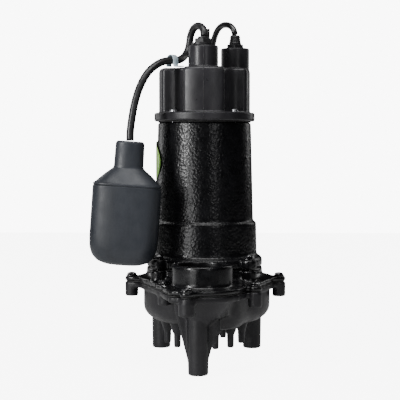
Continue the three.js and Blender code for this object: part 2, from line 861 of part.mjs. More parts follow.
// From the top of the coil round to the plug that lies on it.
const PLUG_TAIL = [
  [46.5, 268, 22.4],
  [46.8, 254, 22.4],
  [43, 240, 22.4],
  [34.5, 228.5, 22.6],
  [22, 221.5, 23.2],
  [8, 220, 24.6],
  [-5, 224.5, 27],
  [-13, 232, 29.4],
  [-17, 241, 31.2],
  [PLUG_X, 248.9, PLUG_AXIS_Z],
];

// A nylon saddle that holds the float's cord down on the cap.
function cordClip() {
  const [x, y, z] = CLIP;
  const seat = CAP_TOP + GAP - z;
  const saddle = cut(
    join(
      solid(new THREE.CylinderGeometry(7.6, 7.6, 8, ROUND).rotateX(Math.PI / 2).rotateY(Math.PI / 2)),
      block([-4, -7.6, seat], [4, 7.6, 0]),
      block([-4, -19, seat], [4, 0, seat + 2.1]),
    ),
    solid(new THREE.CylinderGeometry(5.9, 5.9, 12, ROUND).rotateX(Math.PI / 2).rotateY(Math.PI / 2)),
    block([-6, -30, -20], [6, 30, seat]),
  );
  return saddle.rotate([0, 0, 41.4]).translate([x, y, z]);
}

function plugPieces() {
  const along = (geometry) => solid(geometry.translate(PLUG_X, 0, PLUG_AXIS_Z));
  const round = (radius, from, to, tip) => {
    const shape = new THREE.CylinderGeometry(tip, radius, to - from, ROUND);
    return along(shape.translate(0, (from + to) / 2, 0));
  };
  const y0 = PLUG_FOOT_Y;
  const face = y0 + 66;
  const grip = along(new THREE.BoxGeometry(30, 34, 25).translate(0, face - 17, 0));
  add("plug_body", join(round(5.6, y0, y0 + 28, 8), round(8, y0 + 26, y0 + 36, 13), grip), "black_rubber");
  const blade = (x, z, width, height, length) =>
    along(new THREE.BoxGeometry(width, length, height).translate(x, face + GAP + length / 2, z));
  add("plug_blade_live", blade(-6.35, 3.5, 1.5, 6.3, 16), "brass");
  add("plug_blade_neutral", blade(6.35, 3.5, 1.5, 7.9, 16), "brass");
  add("plug_ground_pin", round(2.4, face + GAP, face + GAP + 18.5, 2.2).translate([0, 0, -7.5]), "brass");
}

function cordPieces() {
  add("float_cord_upper", tubeGeometry(FLOAT_CORD_UPPER, FLOAT_CORD_DIAMETER, 20, 8), "black_rubber");
  add("float_cord_lower", tubeGeometry(FLOAT_CORD_LOWER, FLOAT_CORD_DIAMETER, 12, 8), "black_rubber");
  add("cord_clip", cordClip(), "clear_nylon");
  add("power_cord", tubeGeometry(POWER_CORD, POWER_CORD_DIAMETER, 44, 8), "gloss_cord");
  const coil = ring(COIL_INNER, COIL_OUTER, COIL_FOOT, COIL_TOP, MEDIUM + 4);
  add("power_cord_coil", moved(coil, ...COIL_CENTRE, 0), "gloss_cord");
  add("power_cord_tail", tubeGeometry(PLUG_TAIL, POWER_CORD_DIAMETER, 12, 8), "gloss_cord");
  const across = (COIL_INNER + COIL_OUTER) / 2;
  const half = (COIL_OUTER - COIL_INNER) / 2;
  const band = cut(
    block([across - half - 2.6, -5, COIL_FOOT - 1.5], [across + half + 2.2, 5, COIL_TOP + 1.5]),
    block([across - half - 1.4, -6, COIL_FOOT - 0.3], [across + half + 1, 6, COIL_TOP + 0.3]),
  );
  add("coil_tie", band.rotate([0, 0, 195]).translate([...COIL_CENTRE, 0]), "satin_black");
  plugPieces();
}

volutePieces();
housingPieces();
label();
capPieces();
glandPieces();
rotatingPieces();
innerPieces();
floatPieces();
cordPieces();

const group = new THREE.Group();
group.add(pump);
export default group;
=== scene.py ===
"""Looks of a submersible sump pump with a tethered float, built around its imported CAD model.

Lengths are in millimetres from the pump's own shaft at floor level, and are turned into the
frame's metres when a mesh is made.
"""
import math

import bmesh
import bpy
import numpy as np
from mathutils import Matrix, Vector


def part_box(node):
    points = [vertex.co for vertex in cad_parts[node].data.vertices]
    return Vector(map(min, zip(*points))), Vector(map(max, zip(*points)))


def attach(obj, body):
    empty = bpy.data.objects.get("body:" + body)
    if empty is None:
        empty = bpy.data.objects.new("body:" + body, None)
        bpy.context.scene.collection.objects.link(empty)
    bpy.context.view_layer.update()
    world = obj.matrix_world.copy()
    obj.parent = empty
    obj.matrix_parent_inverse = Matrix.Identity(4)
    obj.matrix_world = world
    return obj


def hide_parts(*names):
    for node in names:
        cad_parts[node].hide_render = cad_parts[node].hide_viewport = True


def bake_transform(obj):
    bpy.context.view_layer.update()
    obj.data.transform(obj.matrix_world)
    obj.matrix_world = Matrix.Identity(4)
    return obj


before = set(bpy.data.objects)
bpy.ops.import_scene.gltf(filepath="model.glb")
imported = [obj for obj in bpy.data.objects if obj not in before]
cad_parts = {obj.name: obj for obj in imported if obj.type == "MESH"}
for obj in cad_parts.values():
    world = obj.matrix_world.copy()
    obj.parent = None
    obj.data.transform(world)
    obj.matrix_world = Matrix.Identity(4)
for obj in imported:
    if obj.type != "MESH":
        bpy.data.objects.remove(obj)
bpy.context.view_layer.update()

MM = 0.001


# ---------------- places read from the frame

shaft_low, shaft_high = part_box("shaft")
SHAFT = Vector(((shaft_low[0] + shaft_high[0]) / 2, (shaft_low[1] + shaft_high[1]) / 2, 0))


def span(node):
    """The node's lowest and highest corners, in millimetres from the shaft's foot."""
    low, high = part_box(node)
    return (Vector(low) - SHAFT) / MM, (Vector(high) - SHAFT) / MM


def place(x, y, z):
    """A point given in millimetres from the shaft's foot, in the frame's metres."""
    return SHAFT + Vector((x, y, z)) * MM


def middle(node):
    """The centre of the node's box."""
    low, high = span(node)
    return (low + high) / 2


BASE_LOW, BASE_HIGH = span("volute_base")
COVER_LOW, COVER_HIGH = span("volute_cover")
HOUSING_LOW, HOUSING_HIGH = span("motor_housing")
CAP_LOW, CAP_HIGH = span("top_cap")
VOLUTE_BOLTS = [middle(f"volute_bolt_{i + 1}") for i in range(7)]
HOUSING_BOLTS = [middle(f"housing_bolt_{i + 1}") for i in range(4)]
CAP_SCREWS = [middle(f"cap_screw_{i + 1}") for i in range(4)]
FLOAT_GLAND = middle("float_gland_nut")
POWER_GLAND = middle("power_gland_flange")
COIL_LOW, COIL_HIGH = span("power_cord_coil")


# ---------------- camera

CAMERA_DISTANCE = 1430
CAMERA_HEIGHT = 270
CAMERA_AZIMUTH = math.radians(1.2)
CAMERA_PITCH = math.radians(2.6)
CAMERA_YAW = math.radians(0.234)
CAMERA_LENS = 99


def make_camera():
    """A long lens a little above and to the right of square on."""
    data = bpy.data.cameras.new("camera")
    data.lens = CAMERA_LENS
    data.sensor_width = 36
    data.clip_end = 20
    camera = bpy.data.objects.new("camera", data)
    bpy.context.collection.objects.link(camera)
    x = CAMERA_DISTANCE * math.sin(CAMERA_AZIMUTH)
    y = -CAMERA_DISTANCE * math.cos(CAMERA_AZIMUTH)
    camera.location = place(x, y, CAMERA_HEIGHT)
    camera.rotation_euler = (math.pi / 2 - CAMERA_PITCH, 0, CAMERA_AZIMUTH + CAMERA_YAW)
    bpy.context.scene.camera = camera


make_camera()


# ---------------- meshes

def mesh_piece(name, vertices, faces, smooth=True):
    """A mesh object from points in millimetres from the shaft's foot."""
    points = np.asarray(vertices, float) * MM + np.array(SHAFT)
    mesh = bpy.data.meshes.new(name)
    mesh.from_pydata(points, [], faces)
    if smooth:
        mesh.polygons.foreach_set("use_smooth", np.ones(len(mesh.polygons), bool))
    piece = bpy.data.objects.new(name, mesh)
    bpy.context.collection.objects.link(piece)
    return piece


def finish_piece(piece, body, slot, material, *replaced):
    """Gives the piece its material, and its body and the solids it stands for, if any; the slot is not
    used.
    """
    piece.data.materials.clear()
    piece.data.materials.append(MATERIALS[material])
    if body:
        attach(piece, body)
    if replaced:
        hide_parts(*replaced)
    return piece


def ring_faces(rings, count, close_start=False, close_end=False):
    """Faces that join rings of count points, listed one ring after the other."""
    faces = []
    for j in range(rings - 1):
        for i in range(count):
            k = (i + 1) % count
            faces.append((j * count + i, j * count + k, (j + 1) * count + k, (j + 1) * count + i))
    if close_start:
        faces.append(tuple(reversed(range(count))))
    if close_end:
        faces.append(tuple(range((rings - 1) * count, rings * count)))
    return faces


def rounded(profile, radius, steps=4):
    """The open profile with each inner corner turned into an arc of about that radius."""
    points = [Vector(p) for p in profile]
    out = [points[0]]
    for before, corner, after in zip(points, points[1:], points[2:]):
        reach = min(radius, (corner - before).length * 0.45, (after - corner).length * 0.45)
        start = corner + (before - corner).normalized() * reach
        end = corner + (after - corner).normalized() * reach
        for i in range(steps + 1):
            t = i / steps
            out.append(start * (1 - t) ** 2 + corner * 2 * t * (1 - t) + end * t ** 2)
    out.append(points[-1])
    return [tuple(p) for p in out]


def used_only(points, faces):
    """Drops points that no face uses."""
    used = sorted({i for face in faces for i in face})
    index = {old: new for new, old in enumerate(used)}
    return [points[i] for i in used], [tuple(index[i] for i in face) for face in faces]


def turned_mesh(profile, count=96, centre=(0, 0)):
    """Points and faces of a profile of (radius, height) pairs turned about a vertical axis."""
    points, faces = [], []
    for radius, height in profile:
        for i in range(count):
            angle = 2 * math.pi * i / count
            r = max(radius, 1e-4)
            points.append((centre[0] + r * math.cos(angle), centre[1] + r * math.sin(angle), height))
    faces = ring_faces(len(profile), count)
    if profile[0][0] < 0.01:
        faces = faces[count:] + [tuple(reversed(range(count, 2 * count)))]
    if profile[-1][0] < 0.01:
        last = (len(profile) - 2) * count
        faces = [f for f in faces if max(f) < (len(profile) - 1) * count]
        faces.append(tuple(range(last, last + count)))
    return used_only(points, faces)


def merged(*parts):
    """Several (points, faces) pairs as one."""
    points, faces = [], []
    for some_points, some_faces in parts:
        offset = len(points)
        points.extend(some_points)
        faces.extend(tuple(i + offset for i in face) for face in some_faces)
    return points, faces


# ---------------- cast shapes as distance fields

FAR = 50.0


def smooth_min(a, b, blend):
    """The smaller of two distances, with a fillet about as wide as blend where they meet."""
    if blend <= 0:
        return np.minimum(a, b)
    share = np.maximum(blend - np.abs(a - b), 0) / blend
    return np.minimum(a, b) - share * share * blend / 4


def polygon_distance(points, x, y):
    """Signed distance from a closed polygon, negative inside."""
    square = np.full(np.broadcast(x, y).shape, np.inf)
    inside = np.zeros(square.shape, bool)
    for (x0, y0), (x1, y1) in zip(points, list(points[1:]) + [points[0]]):
        ex, ey = x1 - x0, y1 - y0
        if ex == 0 and ey == 0:
            continue
        wx, wy = x - x0, y - y0
        t = np.clip((wx * ex + wy * ey) / (ex * ex + ey * ey), 0, 1)
        square = np.minimum(square, (wx - ex * t) ** 2 + (wy - ey * t) ** 2)
        crosses = (y0 <= y) != (y1 <= y)
        if ey != 0:
            inside ^= crosses & (x < x0 + ex * (y - y0) / ey)
    return np.where(inside, -1, 1) * np.sqrt(square)


class Casting:
    """A solid built up from distances sampled on a grid, in millimetres, negative inside."""

    def __init__(self, low, high, step):
        self.step = step
        self.low = np.array(low, float) - 3 * step
        counts = np.ceil((np.array(high, float) + 3 * step - self.low) / step).astype(int) + 1
        axes = [self.low[i] + step * np.arange(counts[i]) for i in range(3)]
        self.x = axes[0][:, None, None].astype(np.float32)
        self.y = axes[1][None, :, None].astype(np.float32)
        self.z = axes[2][None, None, :].astype(np.float32)
        self.field = np.full(counts, FAR, np.float32)

    def add(self, distance, blend=0.0):
        """Joins a shape on, with a fillet."""
        self.field = smooth_min(self.field, distance, blend).astype(np.float32)

    def cut(self, distance, blend=0.0):
        """Takes a shape away, rounding the edge it leaves."""
        self.field = -smooth_min(-self.field, distance, blend).astype(np.float32)

    def between(self, foot, top):
        return np.maximum(foot - self.z, self.z - top)

    def post(self, x, y, radius, foot, top, top_radius=None):
        """An upright cylinder, or a cone when its top has a radius of its own."""
        share = np.clip((self.z - foot) / (top - foot), 0, 1)
        wide = radius + ((top_radius or radius) - radius) * share
        return np.maximum(np.hypot(self.x - x, self.y - y) - wide, self.between(foot, top))

    def block(self, low, high):
        """A box between two corners."""
        in_x = np.maximum(low[0] - self.x, self.x - high[0])
        in_y = np.maximum(low[1] - self.y, self.y - high[1])
        return np.maximum(np.maximum(in_x, in_y), self.between(low[2], high[2]))

    def plan(self, distance, foot, top):
        """A shape whose outline in plan is the given distance, from foot to top."""
        return np.maximum(distance, self.between(foot, top))

    def profile(self, points, along):
        """The polygon of (along, height) pairs, where along is a distance given in plan."""
        reach = float(np.abs(along).max()) + 2
        samples = np.arange(-reach, reach, self.step / 2)
        table = polygon_distance(points, samples[:, None], self.z[0, 0][None, :].astype(float))
        flat = np.broadcast_to(along, self.field.shape[:2] + (1,))[:, :, 0].ravel()
        rows = [np.interp(flat, samples, table[:, k]) for k in range(table.shape[1])]
        return np.stack(rows, axis=1).reshape(self.field.shape).astype(np.float32)

    def turned(self, points, x=0.0, y=0.0):
        """A profile of (radius, height) pairs turned about a vertical axis at (x, y)."""
        mirrored = [(-r, z) for r, z in reversed(points)]
        return self.profile(list(points) + mirrored, np.hypot(self.x - x, self.y - y))

    def fin(self, points, thickness, x, y, degrees):
        """A flat web that runs out from (x, y): a polygon of (along, height) pairs made thick."""
        c, s = math.cos(math.radians(degrees)), math.sin(math.radians(degrees))
        along = (self.x - x) * c + (self.y - y) * s
        across = np.abs(-(self.x - x) * s + (self.y - y) * c) - thickness / 2
        return np.maximum(self.profile(points, along), across)

    def soften(self):
        """Rounds every edge by about a grid step."""
        for axis in range(3):
            f = self.field
            before = np.roll(f, 1, axis)
            after = np.roll(f, -1, axis)
            self.field = (before + 2 * f + after) / 4

    def surface(self):
        """The zero level as points and four-sided faces."""
        field = self.field
        inside = field < 0
        cells = np.array(field.shape) - 1
        strides = np.array([cells[1] * cells[2], cells[2], 1])
        total = int(np.prod(cells))
        weight = np.zeros(total, np.float32)
        place_sum = np.zeros((3, total), np.float32)
        quads = []
        for axis in range(3):
            near = tuple(slice(0, -1) if k == axis else slice(None) for k in range(3))
            far = tuple(slice(1, None) if k == axis else slice(None) for k in range(3))
            edges = np.argwhere(inside[near] != inside[far])
            a = field[near][tuple(edges.T)]
            b = field[far][tuple(edges.T)]
            point = edges.astype(np.float32)
            point[:, axis] += a / (a - b)
            u, v = (axis + 1) % 3, (axis + 2) % 3
            ring = []
            for du, dv in ((-1, -1), (0, -1), (0, 0), (-1, 0)):
                cell = edges.copy()
                cell[:, u] += du
                cell[:, v] += dv
                ring.append(cell @ strides)
            for ids in ring:
                weight += np.bincount(ids, minlength=total).astype(np.float32)
                for k in range(3):
                    place_sum[k] += np.bincount(ids, point[:, k], total).astype(np.float32)
            ring = np.stack(ring, axis=1)
            ring[a > 0] = ring[a > 0][:, ::-1]
            quads.append(ring)
        quads = np.concatenate(quads)
        used, quads = np.unique(quads, return_inverse=True)
        points = (place_sum[:, used] / weight[used]).T * self.step + self.low
        return points, quads.reshape(-1, 4).tolist()

    def piece(self, name):
        return mesh_piece(name, *self.surface())


# ---------------- materials

class Surface:
    """A new material's shader, with short ways to give it procedural detail."""

    def __init__(self, name, roughness, metallic=0.0, coat=0.0, coat_roughness=0.1, specular=0.5):
        self.material = bpy.data.materials.new(name)
        self.material.use_nodes = True
        self.nodes = self.material.node_tree.nodes
        self.links = self.material.node_tree.links
        self.sockets = self.nodes["Principled BSDF"].inputs
        self.sockets["Roughness"].default_value = roughness
        self.sockets["Metallic"].default_value = metallic
        self.sockets["Coat Weight"].default_value = coat
        self.sockets["Coat Roughness"].default_value = coat_roughness
        self.sockets["Specular IOR Level"].default_value = specular
        self.where = self.nodes.new("ShaderNodeTexCoord").outputs["Object"]
        self.normal = None

    def noise(self, scale, detail=3.0, roughness=0.5, distortion=0.0, stretch=None):
        """A noise texture; stretch scales the pattern's axes."""
        where = self.where
        if stretch:
            mapping = self.nodes.new("ShaderNodeMapping")
            mapping.inputs["Scale"].default_value = stretch
            self.links.new(where, mapping.inputs["Vector"])
            where = mapping.outputs["Vector"]
        texture = self.nodes.new("ShaderNodeTexNoise")
        texture.inputs["Scale"].default_value = scale
        texture.inputs["Detail"].default_value = detail
        texture.inputs["Roughness"].default_value = roughness
        texture.inputs["Distortion"].default_value = distortion
        self.links.new(where, texture.inputs["Vector"])
        return texture.outputs["Fac"]

    def cells(self, scale, drift_scale, drift):
        """Soft round cells, pushed out of line by a noise."""
        noise = self.nodes.new("ShaderNodeTexNoise")
        noise.inputs["Scale"].default_value = drift_scale
        self.links.new(self.where, noise.inputs["Vector"])
        moved = self.nodes.new("ShaderNodeVectorMath")
        moved.operation = "MULTIPLY_ADD"
        moved.inputs[1].default_value = (drift, drift, drift)
        self.links.new(noise.outputs["Color"], moved.inputs[0])
        self.links.new(self.where, moved.inputs[2])
        texture = self.nodes.new("ShaderNodeTexVoronoi")
        texture.feature = "SMOOTH_F1"
        texture.inputs["Scale"].default_value = scale
        texture.inputs["Smoothness"].default_value = 0.7
        self.links.new(moved.outputs["Vector"], texture.inputs["Vector"])
        return texture.outputs["Distance"]

    def ramp(self, socket, value, *stops):
        """Feeds the socket from a ramp between two (position, colour) stops; a number is a grey."""
        node = self.nodes.new("ShaderNodeValToRGB")
        for element, (position, colour) in zip(node.color_ramp.elements, stops):
            element.position = position
            element.color = (*colour, 1) if isinstance(colour, tuple) else (colour, colour, colour, 1)
        self.links.new(value, node.inputs["Fac"])
        self.links.new(node.outputs["Color"], self.sockets[socket])

    def colour(self, value, *stops):
        self.ramp("Base Color", value, *stops)

    def rough(self, value, *stops):
        self.ramp("Roughness", value, *stops)

    def bump(self, height, strength, distance):
        """Raises the surface by the height, on top of any bump that it has already."""
        node = self.nodes.new("ShaderNodeBump")
        node.inputs["Strength"].default_value = strength
        node.inputs["Distance"].default_value = distance
        self.links.new(height, node.inputs["Height"])
        if self.normal:
            self.links.new(self.normal, node.inputs["Normal"])
        self.normal = node.outputs["Normal"]
        self.links.new(self.normal, self.sockets["Normal"])
        self.links.new(self.normal, self.sockets["Coat Normal"])


def hammered_enamel():
    """Thick glossy black paint that keeps a leathery, hammered grain from the casting."""
    paint = Surface("hammered_enamel", 0.3, coat=0.2, coat_roughness=0.16, specular=0.3)
    paint.colour(paint.noise(60, 4), (0.35, (0.0022, 0.0022, 0.0028)), (0.7, (0.0045, 0.0045, 0.0056)))
    paint.rough(paint.noise(140, 4), (0.35, 0.27), (0.7, 0.36))
    paint.bump(paint.noise(38, 3, 0.55), 0.03, 0.0012)
    paint.bump(paint.cells(330, 90, 0.006), 0.6, 0.0006)
    return paint.material


def smooth_enamel():
    """The same paint where the casting under it was machined or finer."""
    paint = Surface("smooth_enamel", 0.24, coat=0.25, coat_roughness=0.1, specular=0.32)
    paint.colour(paint.noise(70, 3), (0.35, (0.0028, 0.0028, 0.0034)), (0.7, (0.0058, 0.0058, 0.0068)))
    paint.rough(paint.noise(110, 4), (0.35, 0.22), (0.7, 0.4))
    paint.bump(paint.noise(55, 3, 0.5), 0.05, 0.0012)
    paint.bump(paint.noise(420, 4, 0.6), 0.06, 0.0005)
    return paint.material


def bolt_enamel():
    """Thick glossy paint run over the bolt heads."""
    paint = Surface("bolt_enamel", 0.16, coat=1.0, coat_roughness=0.06, specular=0.7)
    paint.colour(paint.noise(160, 3), (0.35, (0.003, 0.003, 0.0036)), (0.7, (0.009, 0.009, 0.0105)))
    paint.rough(paint.noise(210, 3), (0.35, 0.1), (0.7, 0.24))
    paint.bump(paint.noise(230, 2), 0.35, 0.0012)
    return paint.material


def sand_casting():
    """Satin charcoal coat over sand-cast iron."""
    iron = Surface("sand_casting", 0.42, specular=0.4)
    iron.colour(iron.noise(45, 5), (0.3, (0.0075, 0.0072, 0.0085)), (0.7, (0.014, 0.0135, 0.016)))
    iron.rough(iron.noise(90, 4), (0.3, 0.34), (0.7, 0.48))
    iron.bump(iron.noise(70, 4, 0.55), 0.15, 0.0015)
    iron.bump(iron.noise(900, 4, 0.7), 0.28, 0.0006)
    return iron.material


def moulded(name, dark, light, rough, streak, grain=0.12):
    """Satin moulded plastic with faint flow streaks and a fine grain."""
    plastic = Surface(name, rough, specular=0.4)
    plastic.colour(plastic.noise(26, 4, 0.6, 0.6, streak), (0.32, dark), (0.68, light))
    plastic.rough(plastic.noise(70, 5, 0.6), (0.3, rough - 0.08), (0.7, rough + 0.1))
    plastic.bump(plastic.noise(40, 3, 0.5, stretch=streak), 0.14, 0.002)
    plastic.bump(plastic.noise(1100, 3, 0.6), grain, 0.0004)
    return plastic.material


def jacket(name, colour, rough, coat):
    """Rubber with faint scuffs."""
    rubber = Surface(name, rough, coat=coat, coat_roughness=0.15)
    scuff = rubber.noise(120, 5, 0.6)
    rubber.colour(scuff, (0.35, colour), (0.75, tuple(c * 1.9 for c in colour)))
    rubber.rough(scuff, (0.3, rough - 0.06), (0.8, rough + 0.14))
    rubber.bump(rubber.noise(700, 4, 0.6), 0.15, 0.0004)
    return rubber.material


def metal(name, dark, light, rough, scale=160, stretch=None):
    """Bare metal with a grain that varies its colour, gloss and surface together."""
    bare = Surface(name, rough, metallic=1.0)
    grain = bare.noise(scale, 5, 0.6, stretch=stretch)
    bare.colour(grain, (0.3, dark), (0.7, light))
    bare.rough(grain, (0.3, rough - 0.06), (0.7, rough + 0.1))
    bare.bump(grain, 0.12, 0.0004)
    return bare.material


def nylon():
    """Milky translucent nylon."""
    milky = Surface("clear_nylon", 0.28, coat=0.2, coat_roughness=0.2)
    milky.colour(milky.noise(90, 3), (0.3, (0.34, 0.44, 0.50)), (0.7, (0.62, 0.72, 0.78)))
    milky.sockets["Transmission Weight"].default_value = 0.15
    milky.bump(milky.noise(500, 3), 0.12, 0.0004)
    return milky.material


def sticker():
    """A plain green vinyl plate, slightly uneven in colour."""
    vinyl = Surface("green_sticker", 0.3, coat=0.4, coat_roughness=0.12)
    vinyl.colour(vinyl.noise(55, 3), (0.35, (0.17, 0.36, 0.06)), (0.7, (0.30, 0.52, 0.12)))
    vinyl.bump(vinyl.noise(400, 3), 0.1, 0.0004)
    return vinyl.material


MATERIALS = {
    "enamel": hammered_enamel(),
    "smooth_enamel": smooth_enamel(),
    "bolt": bolt_enamel(),
    "casting": sand_casting(),
    "cap": moulded("cap_plastic", (0.013, 0.0125, 0.0145), (0.030, 0.029, 0.033), 0.34, (1, 1, 0.35)),
    "gland": moulded("gland_plastic", (0.010, 0.010, 0.011), (0.022, 0.0215, 0.0235), 0.4, (1, 1, 0.8)),
    "float": moulded("float_plastic", (0.016, 0.0185, 0.0235), (0.031, 0.035, 0.043), 0.42, (1, 1, 0.25)),
    "rubber": jacket("cord_rubber", (0.008, 0.008, 0.009), 0.42, 0.15),
    "gloss_jacket": jacket("power_jacket", (0.004, 0.004, 0.0045), 0.28, 0.5),
    "nylon": nylon(),
    "sticker": sticker(),
    "gasket": jacket("gasket_rubber", (0.014, 0.014, 0.014), 0.6, 0.0),
    "zinc": metal("zinc_steel", (0.42, 0.43, 0.45), (0.66, 0.67, 0.69), 0.3),
    "ground": metal("ground_steel", (0.50, 0.51, 0.53), (0.72, 0.73, 0.75), 0.2, 260, (1, 1, 12)),
    "lamination": metal("lamination_steel", (0.16, 0.17, 0.18), (0.34, 0.35, 0.37), 0.42, 60, (1, 1, 60)),
    "copper": metal("winding_copper", (0.36, 0.14, 0.06), (0.68, 0.32, 0.16), 0.34, 240, (1, 1, 6)),
    "brass": metal("contact_brass", (0.58, 0.43, 0.16), (0.80, 0.64, 0.30), 0.24),
    "ceramic": moulded("seal_ceramic", (0.70, 0.68, 0.62), (0.84, 0.82, 0.76), 0.2, (1, 1, 1), 0.04),
    "white": moulded("white_plastic", (0.58, 0.58, 0.56), (0.72, 0.72, 0.70), 0.45, (1, 1, 1)),
}


# ---------------- cords

FLOAT_CORD_DIAMETER = 9.5
POWER_CORD_DIAMETER = 8
CORD_SIDES = 20

FLOAT_CORD_ROUTE = [
    (0.3, -29.6, 414),
    (-0.1, -28.4, 419),
    (-1.4, -25.6, 423.4),
    (-4.3, -21.3, 426.9),
    (-8.5, -15, 428.5),
    (-12.7, -8.7, 426.9),
    (-16.2, -3.5, 422.2),
    (-18.4, -0.5, 415.5),
    (-19.5, -0.4, 407.5),
    (-21.5, -2.8, 398.5),
    (-25.2, -9.4, 391),
    (-28.4, -17.6, 387),
    (-31.6, -25, 384.6),
    (-35.6, -31.1, 383.5),
    (-40, -35, 383),
    (-47.9, -42, 381.8),
    (-54, -47.4, 379.4),
    (-61, -53.6, 374.6),
    (-68.3, -60.2, 367),
    (-75, -66, 355.8),
    (-81, -71, 340.5),
    (-85.1, -74.8, 324),
    (-87.9, -77.6, 306.9),
    (-89.6, -79.4, 292),
    (-89.7, -80, 281.7),
]
CLIP = (-40, -35, 383)

POWER_CORD_ROUTE = [
    (39.3, 12.3, 420.4),
    (37.4, 14.3, 427.3),
    (32.6, 19.5, 432.6),
    (25.6, 27.5, 434.5),
    (20, 34.4, 432.6),
    (15.6, 41, 427.6),
    (12, 48, 419),
    (9.3, 56, 407.5),
    (6.4, 65, 392.5),
    (3.4, 73.4, 375),
    (1, 80.5, 354),
    (-1, 86, 328),
    (-2.2, 90, 290),
    (-3, 93, 240),
    (-3, 95, 180),
    (-3, 95.6, 120),
    (-3, 96.5, 76),
    (-3, 100, 46),
    (-3, 108, 23),
    (-3.4, 121, 9),
    (-5, 138, 4.5),
    (-9.5, 156, 4.3),
    (-18, 174, 4.3),
    (-29, 191, 4.4),
    (-38, 203.5, 4.5),
    (-46.2, 214, 4.9),
]
PLUG_TAIL_ROUTE = [
    (46.5, 268, 22.4),
    (46.8, 254, 22.4),
    (43, 240, 22.4),
    (34.5, 228.5, 22.6),
    (22, 221.5, 23.2),
    (8, 220, 24.6),
    (-5, 224.5, 27),
    (-13, 232, 29.4),
    (-17, 241, 31.2),
    (-18, 248.9, 31.6),
]


def smooth_path(points, spacing=3.0):
    """A centripetal curve through the points, sampled about every spacing."""
    p = [Vector(q) for q in points]
    p = [p[0] * 2 - p[1]] + p + [p[-1] * 2 - p[-2]]
    out = []
    for i in range(1, len(p) - 2):
        a, b, c, d = p[i - 1:i + 3]
        t0 = 0.0
        t1 = t0 + math.sqrt((b - a).length)
        t2 = t1 + math.sqrt((c - b).length)
        t3 = t2 + math.sqrt((d - c).length)
        steps = max(2, round((c - b).length / spacing))
        for k in range(steps):
            t = t1 + (t2 - t1) * k / steps
            a1 = a * ((t1 - t) / (t1 - t0)) + b * ((t - t0) / (t1 - t0))
            a2 = b * ((t2 - t) / (t2 - t1)) + c * ((t - t1) / (t2 - t1))
            a3 = c * ((t3 - t) / (t3 - t2)) + d * ((t - t2) / (t3 - t2))
            b1 = a1 * ((t2 - t) / (t2 - t0)) + a2 * ((t - t0) / (t2 - t0))
            b2 = a2 * ((t3 - t) / (t3 - t1)) + a3 * ((t - t1) / (t3 - t1))
            out.append(b1 * ((t2 - t) / (t2 - t1)) + b2 * ((t - t1) / (t2 - t1)))
    out.append(p[-2])
    return out


def tube_mesh(path, radius, sides=CORD_SIDES):
    """Points and faces of a round tube along the path, its two ends closed."""
    normal = Vector((0, 0, 1)).cross(path[1] - path[0])
    if normal.length < 1e-6:
        normal = Vector((1, 0, 0))
    normal.normalize()
    points = []
    for i, here in enumerate(path):
        forward = (path[min(i + 1, len(path) - 1)] - path[max(i - 1, 0)]).normalized()
        normal = (normal - forward * normal.dot(forward)).normalized()
        side = forward.cross(normal)
        wide = radius(i) if callable(radius) else radius
        for k in range(sides):
            angle = 2 * math.pi * k / sides
            points.append(here + (normal * math.cos(angle) + side * math.sin(angle)) * wide)
    return points, ring_faces(len(path), sides, True, True)


# ---------------- cords, made

COIL_CENTRE = (COIL_LOW + COIL_HIGH) / 2
COIL_RADII = (60, 51.8, 43.6, 35.8, 35.8, 43.6, 51.8, 60)
LOWER_TURNS = 4
COIL_TURNS = 7.38
COIL_ENTRY = math.radians(196)
COIL_STEPS = 44
TURN_SHIFT = 0.72
LAYER_INSET = 4.1


def coil_path():
    """Clockwise turns: inwards along the lower layer, then outwards along the upper one."""
    low = COIL_LOW.z + LAYER_INSET
    high = COIL_HIGH.z - LAYER_INSET
    points = []
    for i in range(round(COIL_TURNS * COIL_STEPS)):
        whole, step = divmod(i, COIL_STEPS)
        ease = max(0.0, (step / COIL_STEPS - TURN_SHIFT) / (1 - TURN_SHIFT))
        ease = ease * ease * (3 - 2 * ease)
        after = min(whole + 1, len(COIL_RADII) - 1)
        radius = COIL_RADII[whole] + (COIL_RADII[after] - COIL_RADII[whole]) * ease
        from_height = low if whole < LOWER_TURNS else high
        to_height = low if after < LOWER_TURNS else high
        height = from_height + (to_height - from_height) * ease
        angle = COIL_ENTRY - i / COIL_STEPS * 2 * math.pi
        points.append(coil_point(radius, angle, height))
    return points


def coil_point(radius, angle, height):
    """A point round the coil's own axis."""
    x = COIL_CENTRE.x + radius * math.cos(angle)
    y = COIL_CENTRE.y + radius * math.sin(angle)
    return Vector((x, y, height))


def onto_the_coil(last_angle):
    """The climb from the upper layer to the start of the plug's tail."""
    high = COIL_HIGH.z - LAYER_INSET
    stages = ((8, 60, high + 1.5), (17, 60.2, high + 4.6), (27, 58.5, high + 7.4), (38, 53.5, high + 8.5))
    return [coil_point(radius, last_angle - math.radians(turn), height) for turn, radius, height in stages]


